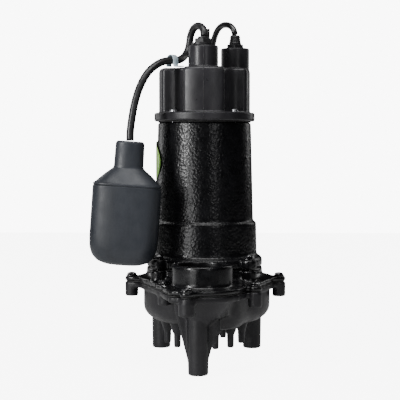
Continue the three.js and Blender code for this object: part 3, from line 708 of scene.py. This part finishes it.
def make_cords():
    """The float's cord, blended at the clip, and the whole power cord up to its plug."""
    float_path = smooth_path(FLOAT_CORD_ROUTE, 2.5)
    cord = mesh_piece("float_cord", *tube_mesh(float_path, FLOAT_CORD_DIAMETER / 2))
    finish_piece(cord, None, "cord_rubber", "rubber", "float_cord_upper", "float_cord_lower")
    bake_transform(cord)
    turns = coil_path()
    last_angle = COIL_ENTRY - (len(turns) - 1) / COIL_STEPS * 2 * math.pi
    before_coil = coil_point(65.5, COIL_ENTRY + math.radians(13), turns[0].z - 0.5)
    lead = smooth_path(POWER_CORD_ROUTE + [tuple(before_coil), tuple(turns[0])], 4)
    climb = [tuple(p) for p in [turns[-1]] + onto_the_coil(last_angle)]
    tail = smooth_path(climb + PLUG_TAIL_ROUTE, 4)
    whole = lead[:-1] + turns[:-1] + tail
    power = mesh_piece("power_cord_run", *tube_mesh(whole, POWER_CORD_DIAMETER / 2))
    finish_piece(power, "pump_body", "power_cord_jacket", "gloss_jacket",
                 "power_cord", "power_cord_coil", "power_cord_tail")
    return power, whole


def coil_tie():
    """A flat strap round the coil's section."""
    angle = math.radians(195)
    inner, outer = 30.3, 66.1
    foot, top = COIL_LOW.z - 0.7, COIL_HIGH.z + 0.8
    corner = 4.0
    thick = 0.9
    section = ((-4.6, 0), (-4.9, thick / 2), (-4.6, thick), (4.6, thick), (4.9, thick / 2), (4.6, 0))
    arcs = ((outer - corner, top - corner, 0), (inner + corner, top - corner, 90),
            (inner + corner, foot + corner, 180), (outer - corner, foot + corner, 270))
    points = []
    for centre_r, centre_z, start in arcs:
        for k in range(7):
            a = math.radians(start + k * 15)
            for side, out in section:
                reach = corner - thick + out
                r = centre_r + reach * math.cos(a)
                x = COIL_CENTRE.x + r * math.cos(angle) - side * math.sin(angle)
                y = COIL_CENTRE.y + r * math.sin(angle) + side * math.cos(angle)
                points.append((x, y, centre_z + reach * math.sin(a)))
    sides = len(section)
    count = len(points)
    open_ended = ring_faces(count // sides + 1, sides)
    faces = [tuple(n % count for n in reversed(face)) for face in open_ended]
    tie = mesh_piece("coil_strap", points, faces, smooth=False)
    return finish_piece(tie, "pump_body", "cord_rubber", "gasket", "coil_tie")


# ---------------- volute castings

NECK_Y = -114
BOWL_X = 3
FLANGE_RADIUS = 87
NECK_RADIUS = 36.5
NECK_BORE = 29
FRONT_BOLT = 2
FRONT_LEG = (-5, -119)
REAR_LEGS = ((-60.5, 69), (63.4, 69))
LEG_FOOT = 12.2
PEG_CIRCLE = 48
PEG_ANGLES = (-135, -72, -45, 0, 60, 100, 140, 180)
CORNERS = (225, 315, 45, 135)
LUG_CIRCLE = 80.5
LUG_RADIUS = 9.5


def ear_plan(casting, x, y, radius):
    """Distance in plan from a bolt's ear: a round end on a web that widens to the casting."""
    centre = (0, NECK_Y) if y < -130 else (BOWL_X, 0)
    out = Vector((x - centre[0], y - centre[1]))
    reach = out.length
    along = out.normalized()
    across = Vector((-along.y, along.x))
    corners = []
    for distance, side in ((reach - 3.2 * radius, -2.6 * radius), (reach, -radius), (reach, radius),
                           (reach - 3.2 * radius, 2.6 * radius)):
        point = Vector(centre) + along * distance + across * side
        corners.append((point.x, point.y))
    web = polygon_distance(corners, casting.x, casting.y)
    return smooth_min(web, np.hypot(casting.x - x, casting.y - y) - radius, 1.0)


def flange_plan(casting, ear_radius):
    """Distance in plan from the snail-shaped flange that both castings share."""
    x, y = casting.x, casting.y
    plan = np.hypot(x - BOWL_X, y) - FLANGE_RADIUS
    plan = smooth_min(plan, np.hypot(x, y - NECK_Y) - NECK_RADIUS - 10, 6)
    shoulders = [(-70, -52), (-40, -135), (42, -135), (78, -50)]
    plan = smooth_min(plan, polygon_distance(shoulders, x, y), 6)
    plan = smooth_min(plan, np.hypot(x + 31, y + 148) - 8.5, 4)
    for bolt in VOLUTE_BOLTS:
        plan = smooth_min(plan, ear_plan(casting, bolt.x, bolt.y, ear_radius), 7)
    return plan


def cut_water_way(casting, foot, top):
    """The space the impeller turns in, and the passage from it to the discharge."""
    casting.cut(casting.post(0, 0, 66, foot, top))
    casting.cut(casting.post(14, -66, 26, foot + 3, top))
    casting.cut(casting.post(0, NECK_Y + 4, 14, 68, 100, 31))
    passage = polygon_distance([(-20, -60), (-19, -104), (22, -104), (34, -66)], casting.x, casting.y)
    casting.cut(casting.plan(passage, 76, top))


def base_casting():
    """The bowl with its scroll and discharge cup, the flange, three legs and the strainer pegs."""
    top = BASE_HIGH.z
    c = Casting(BASE_LOW, BASE_HIGH, 1.32)
    bowl = [(0, 50), (60, 50), (66.5, 51.2), (72, 54), (77.5, 58.6), (81, 64), (82, 70), (82, 94), (0, 94)]
    scroll = [(0, 50), (24, 50), (29, 52), (32.4, 57), (33.4, 63), (33.4, 94), (0, 94)]
    cup = [(0, 58), (9, 58.6), (16, 62), (24, 71), (31, 81), (36.5, 92), (36.5, 94), (0, 94)]
    duct = [(-30, -60), (-28, -108), (30, -108), (44, -62)]
    c.add(c.turned(bowl, BOWL_X, 0))
    c.add(c.turned(scroll, 16, -70), 16)
    c.add(c.turned(cup, 0, NECK_Y + 4), 8)
    c.add(c.plan(polygon_distance(duct, c.x, c.y), 70, 94), 8)
    c.add(c.plan(flange_plan(c, 8), top - 7.4, top), 2)
    for i, bolt in enumerate(VOLUTE_BOLTS):
        if i == FRONT_BOLT:
            c.add(c.post(bolt.x, bolt.y + 2, 10, 77, 93), 1.5)
        else:
            c.add(c.post(bolt.x, bolt.y, 8.5, 80, top), 1)
    left_fin = [(-30, 93), (-29, 80), (-11, 10), (0, 10), (0, 93)]
    right_fin = [(0, 10), (11, 14), (18, 38), (22, 38), (22, 50), (27, 50), (27, 68), (0, 68)]
    back_fin = [(0, 14), (12, 20), (30, 52), (30, 68), (0, 68)]
    c.add(c.post(*FRONT_LEG, LEG_FOOT, 0, 79, 13.5), 1.5)
    c.add(c.fin(left_fin, 4, *FRONT_LEG, 0), 0.5)
    c.add(c.fin(right_fin, 5, *FRONT_LEG, 0), 1)
    c.add(c.fin(back_fin, 6, *FRONT_LEG, 90), 2)
    side_fin = [(0, 34), (14, 34), (26, 44), (26, 62), (0, 62)]
    slant_fin = [(0, 12), (9, 12), (22, 40), (22, 62), (0, 62)]
    for x, y in REAR_LEGS:
        c.add(c.post(x, y, LEG_FOOT, 0, 62, 13.1), 3)
        c.add(c.fin(side_fin, 5, x, y, 0 if x < 0 else 180), 2)
        c.add(c.fin(slant_fin, 5, x, y, -60 if x < 0 else -120), 2)
    c.add(c.turned([(0, 43), (33.4, 43), (34, 44), (34, 54), (0, 54)]), 2)
    for degrees in PEG_ANGLES:
        x = PEG_CIRCLE * math.cos(math.radians(degrees))
        y = PEG_CIRCLE * math.sin(math.radians(degrees))
        c.add(c.post(x, y, 4.4, 18, 54, 5.2), 1)
        c.add(c.post(x, y, 6.2, 37, 53, 10.7), 2)
    cut_water_way(c, 57, top + 9)
    c.cut(c.post(0, 0, 24, 30, 60), 1)
    for bolt in VOLUTE_BOLTS:
        c.cut(c.post(bolt.x, bolt.y, 3.3, 70, top + 9))
    c.soften()
    piece = c.piece("base_casting")
    return finish_piece(piece, "pump_body", "satin_black_iron", "casting", "volute_base")


def corner_points(circle):
    """The four points at the motor's corners on a circle about the shaft."""
    return [(circle * math.cos(math.radians(a)), circle * math.sin(math.radians(a))) for a in CORNERS]


def cover_casting():
    """The volute's lid: flange, bell with four lugs, and the threaded discharge neck."""
    foot = COVER_LOW.z
    c = Casting(COVER_LOW, COVER_HIGH, 1.15)
    c.add(c.plan(flange_plan(c, 8.5), foot, foot + 5.8))
    bell = [(0, foot), (84, foot), (84, 106), (80, 107), (77.2, 109), (75.2, 112), (75, 119.2), (0, 119.2)]
    c.add(c.turned(bell), 2.5)
    for x, y in corner_points(LUG_CIRCLE):
        c.add(c.post(x, y, LUG_RADIUS, foot, 119.2), 3)
    c.add(c.block((-30, -92, foot), (30, -55, 116.6)), 4)
    neck = [(0, foot), (40.5, foot), (40.5, 106), (37.8, 107.4), (36.6, 110), (NECK_RADIUS, 131.4),
            (35, 133), (0, 133)]
    c.add(c.turned(neck, 0, NECK_Y), 3)
    c.cut(c.post(0, NECK_Y, NECK_BORE, foot - 9, 142), 0.8)
    c.cut(c.turned([(0, 131.4), (NECK_BORE, 131.4), (NECK_BORE + 2.2, 140), (0, 140)], 0, NECK_Y))
    for level in range(6):
        height = 111 + level * 3.4
        thread = [(NECK_BORE - 1, height), (NECK_BORE + 1.1, height + 1.7), (NECK_BORE - 1, height + 3.4)]
        c.cut(c.turned([(0, height)] + thread + [(0, height + 3.4)], 0, NECK_Y))
    c.cut(c.post(0, 0, 20, 101.7, 130))
    c.cut(c.post(0, 0, 16, foot - 9, 103))
    groove = np.maximum(26 - np.hypot(c.x, c.y), np.hypot(c.x, c.y) - 60)
    c.cut(c.plan(groove, 108, 130))
    for bolt in VOLUTE_BOLTS:
        c.cut(c.post(bolt.x, bolt.y, 3.4, foot - 9, 118))
        c.cut(c.post(bolt.x, bolt.y, 8.4, 106.1, 118), 0.6)
    for x, y in corner_points(LUG_CIRCLE):
        c.cut(c.post(x, y, 3.8, 106.5, 130))
    c.soften()
    piece = c.piece("cover_casting")
    return finish_piece(piece, "pump_body", "gloss_black_iron", "smooth_enamel", "volute_cover")


# ---------------- motor housing

SCREW_CIRCLE = 54.5


def housing_casting():
    """The motor's barrel on its wider foot ring, with the bores for the motor and the shaft."""
    foot = HOUSING_LOW.z
    top = HOUSING_HIGH.z
    c = Casting(HOUSING_LOW, HOUSING_HIGH, 1.48)
    foot_ring = [(0, foot), (75, foot), (75, 129.5), (74.2, 131.6), (72, 133.4), (69, 135), (68, 138)]
    barrel = [(67.2, 176), (66.6, 177.6), (63.3, 178.8), (60.2, top), (0, top)]
    c.add(c.turned(foot_ring + barrel))
    for x, y in corner_points(LUG_CIRCLE):
        c.add(c.post(x, y, LUG_RADIUS, foot, 133), 3)
    bores = ((54.5, 158, top + 9), (16.3, 134, 160), (13.5, 129, 135), (18, foot - 9, 130))
    for radius, low, high in bores:
        c.cut(c.post(0, 0, radius, low, high))
    from_shaft = np.hypot(c.x, c.y)
    c.cut(c.plan(np.maximum(26 - from_shaft, from_shaft - 58), foot - 9, 148))
    for x, y in corner_points(LUG_CIRCLE):
        c.cut(c.post(x, y, 3.8, foot - 9, 142))
    for x, y in corner_points(52):
        c.add(np.maximum(c.post(x, y, 7, 285, top), from_shaft - 58), 1)
    for x, y in corner_points(SCREW_CIRCLE):
        c.cut(c.post(x, y, 2.8, 288, top + 9))
    c.soften()
    piece = c.piece("housing_casting")
    return finish_piece(piece, "pump_body", "gloss_black_iron", "enamel", "motor_housing")


# ---------------- cap

POCKET_CIRCLE = 62
CAP_DECK = 375
FLANGE_TOP = 318
FLOAT_BOSS = (FLOAT_GLAND.x + 1, FLOAT_GLAND.y)
POWER_BOSS = (POWER_GLAND.x, POWER_GLAND.y)
FLOAT_BOSS_RADIUS = 19


def cap_moulding():
    """The hollow cap with four deep screw pockets, its flange and the two cord bosses."""
    foot = CAP_LOW.z
    boss_top = CAP_HIGH.z
    c = Casting(CAP_LOW, CAP_HIGH, 1.0)
    body = [(0, foot), (59, foot), (59, CAP_DECK - 5), (57.8, CAP_DECK - 1.6), (55, CAP_DECK),
            (0, CAP_DECK)]
    c.add(c.turned(body))
    for x, y in corner_points(POCKET_CIRCLE):
        c.cut(c.post(x, y, 18, foot - 9, boss_top + 9), 6)
    c.add(c.post(*FLOAT_BOSS, FLOAT_BOSS_RADIUS, 370, boss_top), 1.2)
    c.add(c.post(*POWER_BOSS, 18.5, FLANGE_TOP, boss_top), 1.2)
    flange = [(0, foot), (64.4, foot), (65, foot + 0.6), (65, 317.2), (64.2, FLANGE_TOP), (0, FLANGE_TOP)]
    c.add(c.turned(flange), 1.2)
    inside = Casting(CAP_LOW, CAP_HIGH, 1.0)
    inside.add(inside.post(0, 0, 54, foot - 9, 369))
    for x, y in corner_points(POCKET_CIRCLE):
        inside.cut(inside.post(x, y, 22, foot - 9, 370), 1)
    c.cut(inside.field)
    for x, y in corner_points(SCREW_CIRCLE):
        c.cut(c.post(x, y, 2.9, foot - 9, 319))
    c.cut(c.post(*FLOAT_BOSS, 6, 360, boss_top + 9))
    c.cut(c.post(*POWER_BOSS, 5, 360, boss_top + 9))
    c.soften()
    return finish_piece(c.piece("cap_moulding"), "pump_body", "cap_plastic", "cap", "top_cap")


def cap_seam():
    """The mould's parting line up the front of the cap, a low half-round ridge."""
    boss_front = FLOAT_BOSS[1] - FLOAT_BOSS_RADIUS
    runs = (
        [(-65, CAP_LOW.z + 0.5), (-65, 317.2), (-64, FLANGE_TOP), (-59.8, 318.2), (-59, 319.6),
         (-59, 369.6), (-57.9, 373), (-55, 374.9), (boss_front - 0.6, CAP_DECK)],
        [(boss_front, 375.6), (boss_front, 401.6)],
    )
    parts = []
    for run in runs:
        points = [Vector((0, y, z)) for y, z in run]
        dense = []
        for a, b in zip(points, points[1:]):
            steps = max(1, int((b - a).length / 4))
            dense += [a + (b - a) * (k / steps) for k in range(steps)]
        parts.append(tube_mesh(dense + [points[-1]], 0.42, 8))
    seam = mesh_piece("cap_seam", *merged(*parts))
    return finish_piece(seam, "pump_body", "cap_plastic", "cap")


# ---------------- fasteners and glands

def hex_prism(x, y, flats, foot, top, chamfer, turn=0.0):
    """A hexagonal prism with its top and foot edges chamfered."""
    radius = flats / 2 / math.cos(math.pi / 6)
    sides = 24
    slope = 1 - chamfer * 0.5 / radius
    rings = ((foot, slope, 1), (foot + chamfer * 0.4, 1, 1), (top - chamfer, 1, 1),
             (top - chamfer * 0.35, slope, 0.6), (top, 1 - chamfer * 1.5 / radius, 0.2))
    points = []
    for height, share, flat in rings:
        for i in range(sides):
            angle = 2 * math.pi * i / sides + turn
            within = (angle - turn) % (2 * math.pi / 6) - math.pi / 6
            hexagonal = flats / 2 / math.cos(within)
            circle = flats / 2 * 1.03
            r = (hexagonal * flat + circle * (1 - flat)) * share
            points.append((x + r * math.cos(angle), y + r * math.sin(angle), height))
    return points, ring_faces(len(rings), sides, True, True)


def hex_bolt(name, at, head, flats, top, washer, washer_height, shank, shank_foot, turn, replaced):
    """A hexagonal head with a low dome, on a washer whose foot is at the height head, and its shank."""
    x, y = at.x, at.y
    seat = head + washer_height
    crown = top - 0.2
    ring = rounded([(0, head), (washer, head), (washer, seat), (0, seat)], 0.5, 2)
    cap = [(0, crown), (flats * 0.40, crown), (flats * 0.37, crown + 0.5), (flats * 0.2, crown + 0.8),
           (0, crown + 0.85)]
    stem = [(0, shank_foot), (shank - 0.6, shank_foot), (shank, shank_foot + 0.8), (shank, head + 0.5),
            (0, head + 0.5)]
    bolt = mesh_piece(name, *merged(
        turned_mesh(ring, 36, (x, y)),
        hex_prism(x, y, flats, seat - 0.1, top, 1.1, turn),
        turned_mesh(cap, 24, (x, y)),
        turned_mesh(stem, 16, (x, y))), smooth=False)
    return finish_piece(bolt, "pump_body", "gloss_black_iron", "bolt", replaced)


def fasteners():
    """The flange's bolts, the bolts on the housing's lugs and the cap's pan-headed screws."""
    for i, bolt in enumerate(VOLUTE_BOLTS):
        node = f"volute_bolt_{i + 1}"
        low, high = span(node)
        head = COVER_LOW.z + 6.1
        hex_bolt(f"cover_bolt_{i + 1}", bolt, head, 10.4, high.z - 0.7, 7.2, 1.2, 3, low.z, i * 0.7, node)
    for i, bolt in enumerate(HOUSING_BOLTS):
        node = f"housing_bolt_{i + 1}"
        low, high = span(node)
        turn = i * 0.9 + 0.3
        hex_bolt(f"foot_bolt_{i + 1}", bolt, 133.3, 12, high.z - 0.7, 8, 1.4, 3.4, low.z, turn, node)
    for i, screw in enumerate(CAP_SCREWS):
        node = f"cap_screw_{i + 1}"
        low, high = span(node)
        head = FLANGE_TOP + 0.3
        dome = [(0, head), (4.6, head), (4.6, head + 1.2), (4.2, head + 2.4), (3.2, high.z - 0.2),
                (2.3, high.z), (2.1, high.z - 1.6), (0, high.z - 1.7)]
        rod = [(0, low.z), (1.9, low.z), (2.5, low.z + 1), (2.5, head + 0.5), (0, head + 0.5)]
        at = (screw.x, screw.y)
        piece = mesh_piece(f"cap_fixing_{i + 1}",
                           *merged(turned_mesh(dome, 28, at), turned_mesh(rod, 14, at)), smooth=False)
        finish_piece(piece, "pump_body", "zinc_steel", "zinc", node)


GLAND_TURN = math.radians(30)


def gland(name, shape, node, smooth=False):
    """One moulded part of a cord gland."""
    finish_piece(mesh_piece(name, *shape, smooth=smooth), "pump_body", "cord_rubber", "gland", node)


def glands():
    """Each cord's nut on its boss, and the sleeve that the cord leaves by."""
    x, y = FLOAT_BOSS
    low, high = span("float_gland_nut")
    rim = rounded([(0, low.z), (13, low.z), (13, low.z + 3.3), (0, low.z + 3.3)], 0.8, 3)
    collar = turned_mesh(rim, 48, (x - 2, y))
    nut = hex_prism(x, y, 21, low.z, high.z, 0.9, GLAND_TURN)
    gland("float_gland_hex", merged(collar, nut), "float_gland_nut")
    low, high = span("float_gland_relief")
    tube = rounded([(0, low.z), (7, low.z), (6.6, 413.5), (5, 413.6), (5, 412.4), (0, 412.4)], 0.5, 3)
    tab = rounded_block((x + 3.6, y + 5.2, low.z + 0.1), (x + 8.2, y + 7.8, high.z), 0.5)
    gland("float_relief", merged(turned_mesh(tube, 48, (x, y)), tab), "float_gland_relief")
    low, high = span("power_gland_flange")
    nut = hex_prism(*POWER_BOSS, 21, low.z, high.z, 0.8, GLAND_TURN)
    gland("power_gland_hex", nut, "power_gland_flange")
    low, high = span("power_gland_nut")
    foot = low.z
    profile = [(0, foot), (7.9, foot), (8, foot + 0.5), (8, foot + 2.4)]
    for ridge in range(4):
        base = foot + 2.8 + ridge * 1.9
        wide = 7.5 - ridge * 0.22
        profile += [(wide - 0.7, base), (wide, base + 0.4), (wide - 0.1, base + 1.3),
                    (wide - 0.8, base + 1.6)]
    profile += [(6.4, high.z - 0.7), (5.8, high.z), (4.2, high.z), (4.2, high.z - 3), (0, high.z - 3)]
    gland("power_relief", turned_mesh(profile, 40, POWER_BOSS), "power_gland_nut", smooth=True)


def rounded_block(low, high, edge):
    """A box with its edges cut back, as points and faces."""
    bm = bmesh.new()
    bmesh.ops.create_cube(bm, size=1)
    size = [h - l for l, h in zip(low, high)]
    centre = [(h + l) / 2 for l, h in zip(low, high)]
    for vertex in bm.verts:
        vertex.co = Vector(c + v * s for c, v, s in zip(centre, vertex.co, size))
    bmesh.ops.bevel(bm, geom=list(bm.edges), offset=edge, segments=3, affect="EDGES", profile=0.5)
    bm.verts.index_update()
    points = [tuple(v.co) for v in bm.verts]
    faces = [tuple(v.index for v in face.verts) for face in bm.faces]
    bm.free()
    return points, faces


LABEL_RADIUS = 63.0


def side_label():
    """A plain oval plate bent round the left of the barrel."""
    low, high = span("label")
    centre, half = (low + high) / 2, (high - low) / 2
    rings, sides = 10, 72
    points = []
    for radius, edge in ((LABEL_RADIUS, 0.12), (LABEL_RADIUS - 0.35, 0)):
        for j in range(1, rings + 1):
            r = radius - (edge if j == rings else 0)
            for i in range(sides):
                angle = 2 * math.pi * i / sides
                y = centre.y + half.y * j / rings * math.cos(angle)
                z = centre.z + half.z * j / rings * math.sin(angle)
                points.append((-math.sqrt(r * r - y * y), y, z))
        points.append((-math.sqrt(radius * radius - centre.y * centre.y), centre.y, centre.z))
    layer = rings * sides + 1
    front = ring_faces(rings, sides) + [((i + 1) % sides, i, layer - 1) for i in range(sides)]
    back = [tuple(n + layer for n in reversed(face)) for face in front]
    rim = []
    for i in range(sides):
        a, b = (rings - 1) * sides + i, (rings - 1) * sides + (i + 1) % sides
        rim.append((a, b, b + layer, a + layer))
    plate = mesh_piece("side_label", points, front + back + rim)
    return finish_piece(plate, "pump_body", "label_green", "sticker", "label")


# ---------------- cord clip

def cord_saddle():
    """A nylon strap bent over the float's cord, with a flat foot on the cap."""
    strap = [(-7.4, -7.6), (-7.5, -4), (-7.5, 0)]
    for k in range(1, 12):
        angle = math.pi - k * math.pi / 12
        strap.append((7.5 * math.cos(angle), 7.5 * math.sin(angle)))
    strap += [(7.5, 0), (7.5, -4), (7.6, -6.6), (8.6, -7.3), (12, -7.5), (18.8, -7.5)]
    thick = 1.3
    outline = ((-3.6, 0), (3.6, 0), (4, 0.3), (4, 0.7), (3.6, 1), (-3.6, 1), (-4, 0.7), (-4, 0.3))
    turn = Matrix.Rotation(math.radians(41.4), 3, "Z")
    points = []
    for i, (across, height) in enumerate(strap):
        before = strap[max(i - 1, 0)]
        after = strap[min(i + 1, len(strap) - 1)]
        t = Vector((after[0] - before[0], after[1] - before[1])).normalized()
        for along, depth in outline:
            a = across + t.y * thick * depth
            h = height - t.x * thick * depth
            points.append(turn @ Vector((along, -a, h)) + Vector(CLIP))
    clip = mesh_piece("cord_saddle", points, ring_faces(len(strap), len(outline), True, True))
    bm = bmesh.new()
    bm.from_mesh(clip.data)
    bmesh.ops.recalc_face_normals(bm, faces=bm.faces)
    bm.to_mesh(clip.data)
    bm.free()
    return finish_piece(clip, "pump_body", "clear_nylon", "nylon", "cord_clip")


# ---------------- float

FLOAT_FOOT = (-100, -80, 128.4)
FLOAT_TILT = Matrix.Rotation(math.radians(4), 3, "Y")
FLOAT_SIDES = 128
FLOAT_FLATNESS = 0.62


def squared_ring(half_x, half_y, exponent, sides):
    """(x, y) points of an oval, which a higher exponent squares up."""
    points = []
    for i in range(sides):
        angle = 2 * math.pi * i / sides
        c, s = math.cos(angle), math.sin(angle)
        points.append((half_x * math.copysign(abs(c) ** (2 / exponent), c),
                       half_y * math.copysign(abs(s) ** (2 / exponent), s)))
    return points


def float_loft(name, rows, node):
    """A shell through rows of (half width, height, exponent), tilted as the float hangs."""
    points = []
    for half, height, exponent in rows:
        for x, y in squared_ring(half, half * FLOAT_FLATNESS, exponent, FLOAT_SIDES):
            points.append(FLOAT_TILT @ Vector((x, y, height)) + Vector(FLOAT_FOOT))
    shell = mesh_piece(name, points, ring_faces(len(rows), FLOAT_SIDES, True, True))
    return finish_piece(shell, "float", "float_plastic", "float", node)


def float_shells():
    """The float's bucket, and the shoulder that closes it and grips the cord."""
    side = [(0.5, 0), (21, 0.5), (31.8, 4.3), (38.4, 11.5), (41.5, 21), (42.3, 34), (42.3, 92),
            (42.2, 96.2), (41.5, 97.3), (20, 97.3)]
    rows = []
    for half, height in rounded(side, 3, 5):
        rows.append((half, height, 2.0 + 1.1 * min(1.0, max(0.0, height / 26))))
    float_loft("float_bucket", rows, "float_body")
    top = [(20, 97.5), (41.5, 97.5), (42.3, 98.5), (41.9, 100.1), (39.8, 101.2), (28, 112.4),
           (19, 119.6), (18.3, 122), (17.9, 146), (17.7, 150.5), (15.4, 153), (5.6, 153), (5.2, 150)]
    rows = []
    for half, height in rounded(top, 1.6, 5):
        rows.append((half, height, 2.1 + min(1.0, max(0.0, (119 - height) / 18))))
    float_loft("float_shoulder", rows, "float_top")


# ---------------- plug

PLUG_HEIGHT = 31.6


def plug():
    """A moulded grounded plug: a ribbed sleeve that widens into a flat-sided grip."""
    x = middle("plug_body").x
    rows = []
    for j in range(6):
        start = 250 + j * 4.4
        wide = 5.5 + j * 0.45
        for along, step in ((0, 0), (2.6, 0.15), (2.8, -0.9), (4.2, -0.8)):
            rows.append((start + along, wide + step, wide + step, 2.0))
    rows += [(277, 8.2, 8, 2.0), (281, 10.4, 9.6, 2.3), (285, 13.4, 11.4, 2.9), (290, 14.8, 12.4, 3.6),
             (297, 13.9, 12.2, 3.8), (305, 14.4, 12.4, 4.2), (313, 15, 12.5, 4.6), (315, 14.8, 12.4, 4.8),
             (316, 14.0, 11.6, 5.0)]
    sides = 56
    points = []
    for y, half_width, half_height, exponent in rows:
        for across, up in squared_ring(half_width, half_height, exponent, sides):
            points.append((x + across, y, PLUG_HEIGHT + up))
    faces = [face[::-1] for face in ring_faces(len(rows), sides, True, True)]
    body = mesh_piece("plug_moulding", points, faces)
    return finish_piece(body, "pump_body", "cord_rubber", "gasket", "plug_body")


# ---------------- everything that stays as packed

CAD_LOOKS = {
    "ground": ("shaft", "seal_spring", "lower_bearing_inner", "upper_bearing_inner",
               "lower_bearing_outer", "upper_bearing_outer", "float_ball"),
    "lamination": ("rotor_core", "stator_core"),
    "copper": ("stator_winding_lower", "stator_winding_upper"),
    "casting": ("impeller", "upper_bearing_carrier"),
    "zinc": ("impeller_nut",),
    "ceramic": ("seal_stationary_seat",),
    "gasket": ("seal_rotating_face", "volute_gasket", "housing_gasket", "cap_gasket"),
    "white": ("capacitor", "float_switch_case"),
    "brass": ("plug_blade_live", "plug_blade_neutral", "plug_ground_pin"),
}


def dress_cad():
    """Gives every solid that stays as packed its material."""
    for look, names in CAD_LOOKS.items():
        for name in names:
            part = bpy.data.objects[name]
            if not part.material_slots:
                part.data.materials.append(MATERIALS[look])
            for slot in part.material_slots:
                slot.material = MATERIALS[look]


# ---------------- studio

def area_light(name, location, target, size, power):
    data = bpy.data.lights.new(name, "AREA")
    data.shape = "RECTANGLE"
    data.size, data.size_y = size
    data.energy = power
    lamp = bpy.data.objects.new(name, data)
    bpy.context.collection.objects.link(lamp)
    lamp.location = location
    lamp.rotation_euler = (target - location).to_track_quat("-Z", "Y").to_euler()


FLOOR_SEEN = 7.5
FLOOR_LIGHT = 0.26
FLOOR_WIDTH = 2.2
FLOOR_FRONT = -0.5
FLOOR_BACK = 2.2


def make_floor():
    """A pale floor, bright to the eye but weak as a light on the black castings."""
    bm = bmesh.new()
    half = FLOOR_WIDTH / 2
    corners = [(-half, FLOOR_FRONT), (half, FLOOR_FRONT), (half, FLOOR_BACK), (-half, FLOOR_BACK)]
    bm.faces.new([bm.verts.new((x, y, -0.0005)) for x, y in corners])
    mesh = bpy.data.meshes.new("studio_floor")
    bm.to_mesh(mesh)
    bm.free()
    floor = bpy.data.objects.new("studio_floor", mesh)
    bpy.context.collection.objects.link(floor)
    pale = Surface("pale_floor", 0.7, specular=0.2)
    pale.colour(pale.noise(3, 2), (0.3, 0.50), (0.7, 0.53))
    pale.sockets["Emission Color"].default_value = (1, 1, 1, 1)
    rays = pale.nodes.new("ShaderNodeLightPath")
    glow = pale.nodes.new("ShaderNodeMix")
    glow.inputs["A"].default_value = FLOOR_LIGHT
    glow.inputs["B"].default_value = FLOOR_SEEN
    pale.links.new(rays.outputs["Is Camera Ray"], glow.inputs["Factor"])
    pale.links.new(glow.outputs["Result"], pale.sockets["Emission Strength"])
    mesh.materials.append(pale.material)


WORLD_SEEN = 9.0
WORLD_LIGHT = 0.12
WORLD_GLOSS = 0.006


def make_world():
    """Near white to the eye, dim as a light, and almost black in reflections."""
    world = bpy.data.worlds.new("studio")
    bpy.context.scene.world = world
    world.use_nodes = True
    nodes, links = world.node_tree.nodes, world.node_tree.links
    background = nodes["Background"]
    background.inputs["Color"].default_value = (1, 1, 1, 1)
    rays = nodes.new("ShaderNodeLightPath")
    glossy = nodes.new("ShaderNodeMix")
    glossy.inputs["A"].default_value = WORLD_LIGHT
    glossy.inputs["B"].default_value = WORLD_GLOSS
    links.new(rays.outputs["Is Glossy Ray"], glossy.inputs["Factor"])
    seen = nodes.new("ShaderNodeMix")
    links.new(glossy.outputs["Result"], seen.inputs["A"])
    seen.inputs["B"].default_value = WORLD_SEEN
    links.new(rays.outputs["Is Camera Ray"], seen.inputs["Factor"])
    links.new(seen.outputs["Result"], background.inputs["Strength"])


def make_lights():
    """Two upright strips for the barrel's highlights, soft light above and low, and two rim lights."""
    centre = place(0, 0, 220)
    base = place(0, -60, 60)
    area_light("key_strip", centre + Vector((-1.02, -0.96, 0.47)), centre, (0.16, 0.9), 19)
    area_light("second_strip", centre + Vector((0.62, -1.36, 0.37)), centre, (0.12, 0.7), 1.3)
    area_light("overhead", centre + Vector((0, -0.45, 1.15)), centre, (1.2, 0.5), 12)
    area_light("low_fill", place(-620, -1000, 150), base, (0.4, 0.25), 1.9)
    area_light("rear_left", centre + Vector((-1.0, 0.9, 0.5)), centre, (0.4, 1.2), 3)
    area_light("rear_right", centre + Vector((1.0, 1.0, 0.6)), centre, (0.4, 1.2), 2.5)


# ---------------- all together

power_cord, power_path = make_cords()
tie = coil_tie()
moulded_plug = plug()

base_casting()
cover_casting()
housing_casting()
cap_moulding()
cap_seam()
fasteners()
glands()
side_label()
cord_saddle()
float_shells()
dress_cad()
make_floor()
make_world()
make_lights()
